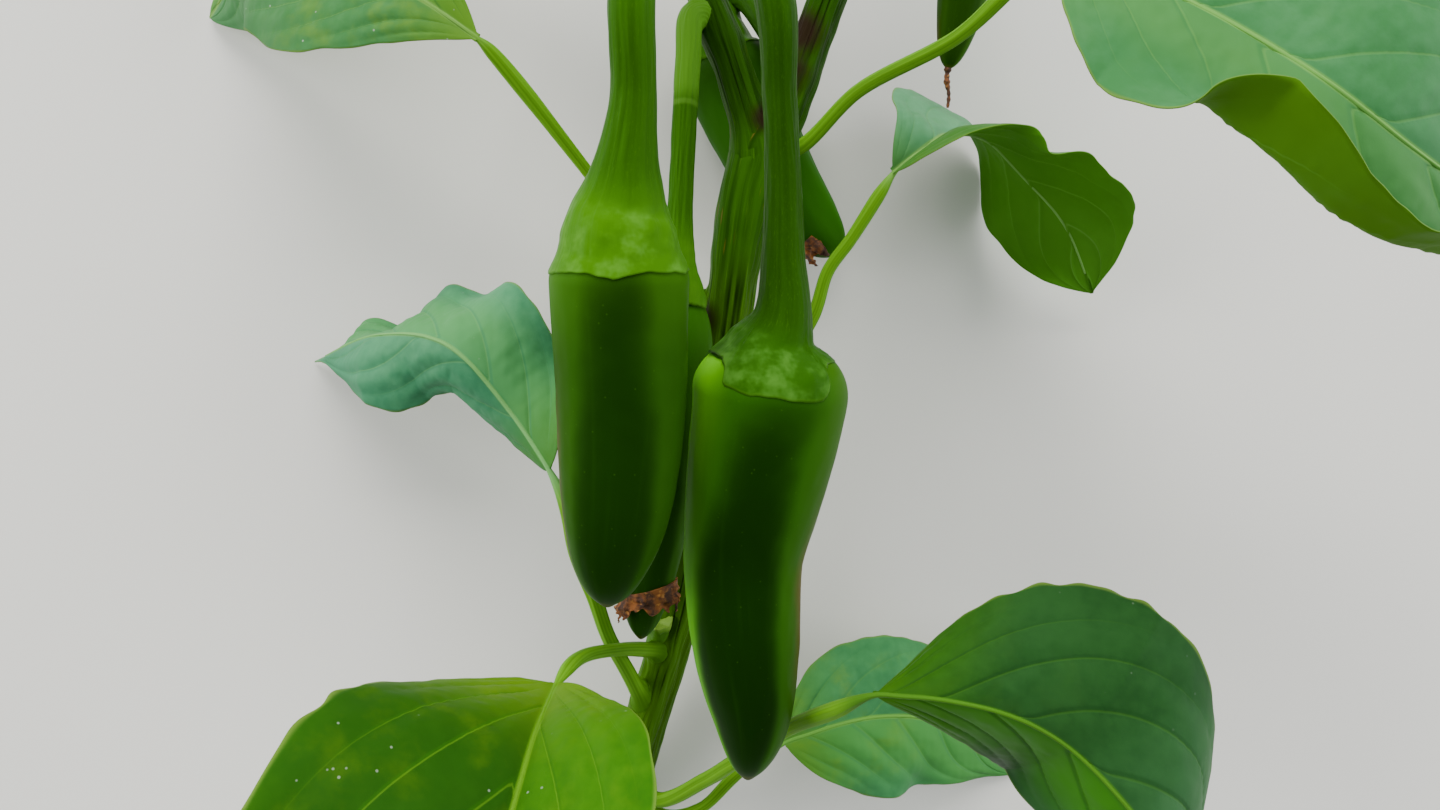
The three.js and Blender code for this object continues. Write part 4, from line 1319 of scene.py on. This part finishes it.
# The dried style at a pod's tip
styleForm = {
    "stations": [(46.6, 69.2, -32, 0.7), (46.4, 66.5, -32.4, 0.5), (46.9, 63.5, -32.8, 0.35),
                 (46.7, 61, -33, 0.3)],
    "around": 10,
    "rows": 60,
    "withered": 0.25,  # of the radius
    "witheredSize": 1.5,
    "upright": np.array([0.0, 0.2, 1.0]),
}


# A thin thread: circles along its curve whose radius is uneven
def thread(form, seed):
    s = np.linspace(0, 1, form["rows"])
    station, _, side, front, angle = tubeFrame(Curve(form["stations"]), s, form["around"], form["upright"])
    withered = unevenness(station[:, None, :3] + 0 * angle[..., None], form["witheredSize"], seed)
    radius = station[:, 3:4] * (1 + form["withered"] * withered)
    return closedTube(rings(station, side, front, radius, angle)[0])


# The stub of a broken side shoot

stub = {
    "stations": [(-14.6, -62, -43.6, 1.9), (-13.6, -55, -41.2, 2), (-12.9, -49.5, -38.4, 1.8),
                 (-12.9, -44.8, -35, 1.8)],
    "around": 48,
    "rows": 60,
    "ribs": 4,
    "ribHeight": 0.05,
    "flare": 0.12,  # of the radius, at the torn end
    "torn": 0.55,
    "tornSize": 1.6,
    "endRings": [0.9, 0.7, 0.45, 0.2],  # radii of the rings that close the torn end
    "hollow": 0.7,
    "upright": np.array([1.0, 0.0, 0.0]),
    "skin": (58, 104, 6),
    "pale": (128, 168, 60),
    "shine": 0.14,
}


# A short tube with ribs, whose open end is torn: the last rings are moved along by an unevenness
def stubTube(form, seed):
    s = np.linspace(0, 1, form["rows"])
    curve = Curve(form["stations"])
    station, heading, side, front, angle = tubeFrame(curve, s, form["around"], form["upright"])
    radius = station[:, 3:4] * (1 + form["ribHeight"] * np.cos(form["ribs"] * angle))
    radius = radius * (1 + form["flare"] * ease(0.85, 1, s)[:, None])
    points, outward = rings(station, side, front, radius, angle)
    torn = form["torn"] * unevenness(points, form["tornSize"], seed) * ease(0.75, 1, s)[:, None]
    points = points + heading[:, None] * torn[..., None]
    points = webbed(points, outward, limbCurves["main_stem"], limbForm["footWeb"])
    end = points[-1].mean(0)
    edge = np.array(form["endRings"])[:, None, None]
    cap = end + (points[-1] - end) * edge - heading[-1] * form["hollow"] * (1 - edge)
    points = np.concatenate([points, cap])
    pale = np.concatenate([ease(0.93, 1, s), np.ones(len(cap))])[:, None] + 0 * points[..., 0]
    return closedTube(points, kind=np.stack([pale, 0 * pale, 0 * pale], -1))


# The shoot's green skin with a fine grain, and pale inside its torn end
def stubMaterial(form):
    s = Shader("tornShoot")
    pale = s.split(s.attribute("kind"))[0]
    grain = s.noise(s.place(), 500, 3.0)
    colour = s.layers(form["skin"], (pale, form["pale"]), (grain.between(0.5, 0.7) * 0.3, form["skin"]))
    return s.finish(colour, 0.5, s.bump(grain, 0.2), form["shine"])


# Putting the plant together

petioleFeet = [Curve([(*p, petioleForm["limb"]) for p in leaf["petiole"][:3]]) for leaf in leaves.values()]
bark = stemMaterial(stemLook)
for number, (name, curve) in enumerate(limbCurves.items()):
    others = [(other, limbForm["web"]) for key, other in limbCurves.items() if key != name]
    stalkFeet = [Curve(stalk["stations"][:3]) for stalk in stalks.values() if stalk["limb"] == name]
    feet = others + [(foot, limbForm["footWeb"]) for foot in stalkFeet + petioleFeet]
    addPiece(f"bark_{name}", [limbTube(curve, limbForm, 11 + number, feet)], bark, "stem", name)
addPiece("torn_shoot", [stubTube(stub, 5)], stubMaterial(stub), "stem")
print("stem and branches made")

# Each pod's greens on its left, front and right, at its shoulder and below, which paint the light and shade
# across it. Its deep green, painted shade, sets in between two shares of the length, and can lean to the
# right at the top and to the left at the tip.
podTones = {
    "front_right": {
        "top": ((118, 212, 3), (36, 86, 2), (50, 94, 3)), "body": ((72, 140, 3), (34, 82, 2), (40, 78, 3)),
        "paintedShadeFrom": (0.04, 0.24), "paintedShadeShare": 1, "lean": 1, "blushSide": -1, "blushSpan": (0.35, 0.75),
    },
    "front_left": {
        "top": ((54, 104, 2), (44, 88, 2), (48, 96, 2)), "body": ((34, 70, 2), (32, 74, 2), (30, 70, 2)),
        "paintedShadeFrom": (-0.06, 0.16), "paintedShadeShare": 0.9, "blushSpan": (0.4, 0.85),
    },
    "behind_left": {
        "top": ((42, 94, 1), (40, 92, 1), (40, 90, 1)), "body": ((40, 88, 1), (38, 84, 1), (36, 80, 1)),
        "paintedShadeFrom": (0.1, 0.3), "paintedShadeShare": 0.7,
    },
    "behind_stem": {
        "top": ((24, 60, 2), (24, 60, 2), (28, 68, 2)), "body": ((34, 84, 3), (38, 92, 3), (40, 102, 3)),
        "paintedShadeFrom": (0.4, 0.75), "paintedShadeShare": 0.1,
    },
    "upper_right": {
        "top": ((36, 74, 2), (40, 80, 2), (40, 80, 2)), "body": ((30, 64, 2), (36, 72, 2), (40, 80, 2)),
        "paintedShadeFrom": (0.1, 0.3), "paintedShadeShare": 0.6,
    },
}
for number, (name, pod) in enumerate(pods.items()):
    skin = podMaterial(name, {**podLook, **podTones[name]})
    addPiece(f"skin_{name}", [podTube(pod, 3 + number)], skin, "pod", f"pod_{name}")
print("pods made")

# What sets a stalk apart: the green of its first stretch, where that ends and where it has a pale band, both
# along it from its limb, how deep its green is after that, its cup's green and that of the painted sheen on
# it, how much of that painted sheen the cup shows, and how pale its rim is
stalkTones = {
    "front_right": {
        "first": (46, 92, 26), "firstTo": (38, 62), "dim": 0.42, "cup": (36, 82, 2),
        "cupPaintedSheen": (82, 134, 48), "paintedSheenShare": 0.62,
    },
    "front_left": {
        "dim": 0.0, "cup": (58, 110, 4), "cupPaintedSheen": (84, 140, 40), "paintedSheenShare": 0.8, "rimPale": 0.2,
    },
    "behind_left": {
        "first": (88, 140, 36), "firstTo": (26, 31), "bandAt": 30, "dim": 0.0, "cup": (56, 108, 4),
        "cupPaintedSheen": (80, 130, 24),
    },
}
for number, (name, stalk) in enumerate(stalks.items()):
    skin = stalkMaterial(name, {**stalkLook, **stalkTones.get(name, {})})
    addPiece(f"cup_{name}", [stalkTube(stalk, 21 + number)], skin, "stalk", f"stalk_{name}")
print("stalks and cups made")

for number, (name, leaf) in enumerate(leaves.items()):
    skin = leafMaterial(name, {**leafFinish, **leafLooks[name]}, leaf, number * 0.37)
    addPiece(f"blade_{name}", leafTubes(leaf, 41 + 7 * number), skin, "leaf", f"leaf_{name}")
print("leaves made")

dried = driedMaterial(driedLook)
ring = petalRing(pods["behind_left"], 0.85, 0.03, 4.6, 5, 1.2, 3)
addPiece("petals_behind_left", [ring], dried, "leaf")
ring = petalRing(pods["behind_stem"], 0.87, 0, 5, 5, 1.4, 8, (0.1, 0.8))
addPiece("petals_behind_stem", [ring], dried, "leaf")
addPiece("style_upper_right", [thread(styleForm, 4)], dried, "leaf")
print("dried remains made")


# Floor, light and camera

studio = {
    "floor": (226, 224, 218),
    "floorShade": (205, 203, 198),
    "floorSize": 6.0,
    "sky": (0.9, 0.95, 1.0, 1.0),
    "skyStrength": 0.5,
    # Name: place in metres, width and height, power in watts and colour
    "lamps": {
        "topLight": ((0.0, 1.86, 1.4), (2.4, 1.5), 81.0, (1.0, 0.99, 0.95)),
        "leftLight": ((-1.95, 0.36, 0.86), (1.5, 1.8), 54.0, (1.0, 1.0, 0.97)),
        "rightLight": ((1.95, 0.15, 0.8), (1.5, 1.8), 36.0, (0.97, 1.0, 1.0)),
    },
    "aim": (0.0, 0.0, 0.05),
}
cameraView = {
    "place": (-0.0075, -0.0123, 0.24654),
    "lens": 27.05,  # on a sensor 36 mm wide
    "sensor": 36.0,
}


# A pale floor with the faintest clouds
def floorMaterial(form):
    s = Shader("paleFloor")
    cloud = s.noise(s.place(), 6, 2.0)
    return s.finish(s.mix(cloud * 0.06, form["floor"], form["floorShade"]), 0.75)


# A square of floor just under the plant
def addFloor(form):
    half = form["floorSize"] / 2
    mesh = bpy.data.meshes.new("floor")
    corners = [(-half, -half, 0), (half, -half, 0), (half, half, 0), (-half, half, 0)]
    mesh.from_pydata(corners, [], [(0, 1, 2, 3)])
    mesh.materials.append(floorMaterial(form))
    floor = bpy.data.objects.new("floor", mesh)
    bpy.context.scene.collection.objects.link(floor)


# Wide soft lamps that face the plant, under an even sky
def addLamps(form):
    for name, (place, size, power, colour) in form["lamps"].items():
        lamp = bpy.data.lights.new(name, "AREA")
        lamp.shape = "RECTANGLE"
        lamp.size, lamp.size_y = size
        lamp.energy = power
        lamp.color = colour
        holder = bpy.data.objects.new(name, lamp)
        holder.location = place
        aim = Vector(form["aim"]) - Vector(place)
        holder.rotation_euler = aim.to_track_quat("-Z", "Y").to_euler()
        bpy.context.scene.collection.objects.link(holder)
    world = bpy.data.worlds.new("studioSky")
    world.use_nodes = True
    background = world.node_tree.nodes["Background"]
    background.inputs["Color"].default_value = form["sky"]
    background.inputs["Strength"].default_value = form["skyStrength"]
    bpy.context.scene.world = world


# The camera looks straight down on the plant, with the stem's growing end at the top of the picture
def addCamera(form):
    lens = bpy.data.cameras.new("camera")
    lens.lens = form["lens"]
    lens.sensor_width = form["sensor"]
    lens.clip_start = 0.005
    camera = bpy.data.objects.new("camera", lens)
    camera.location = form["place"]
    bpy.context.scene.collection.objects.link(camera)
    bpy.context.scene.camera = camera


addFloor(studio)
addLamps(studio)
addCamera(cameraView)
print("floor, light and camera set")
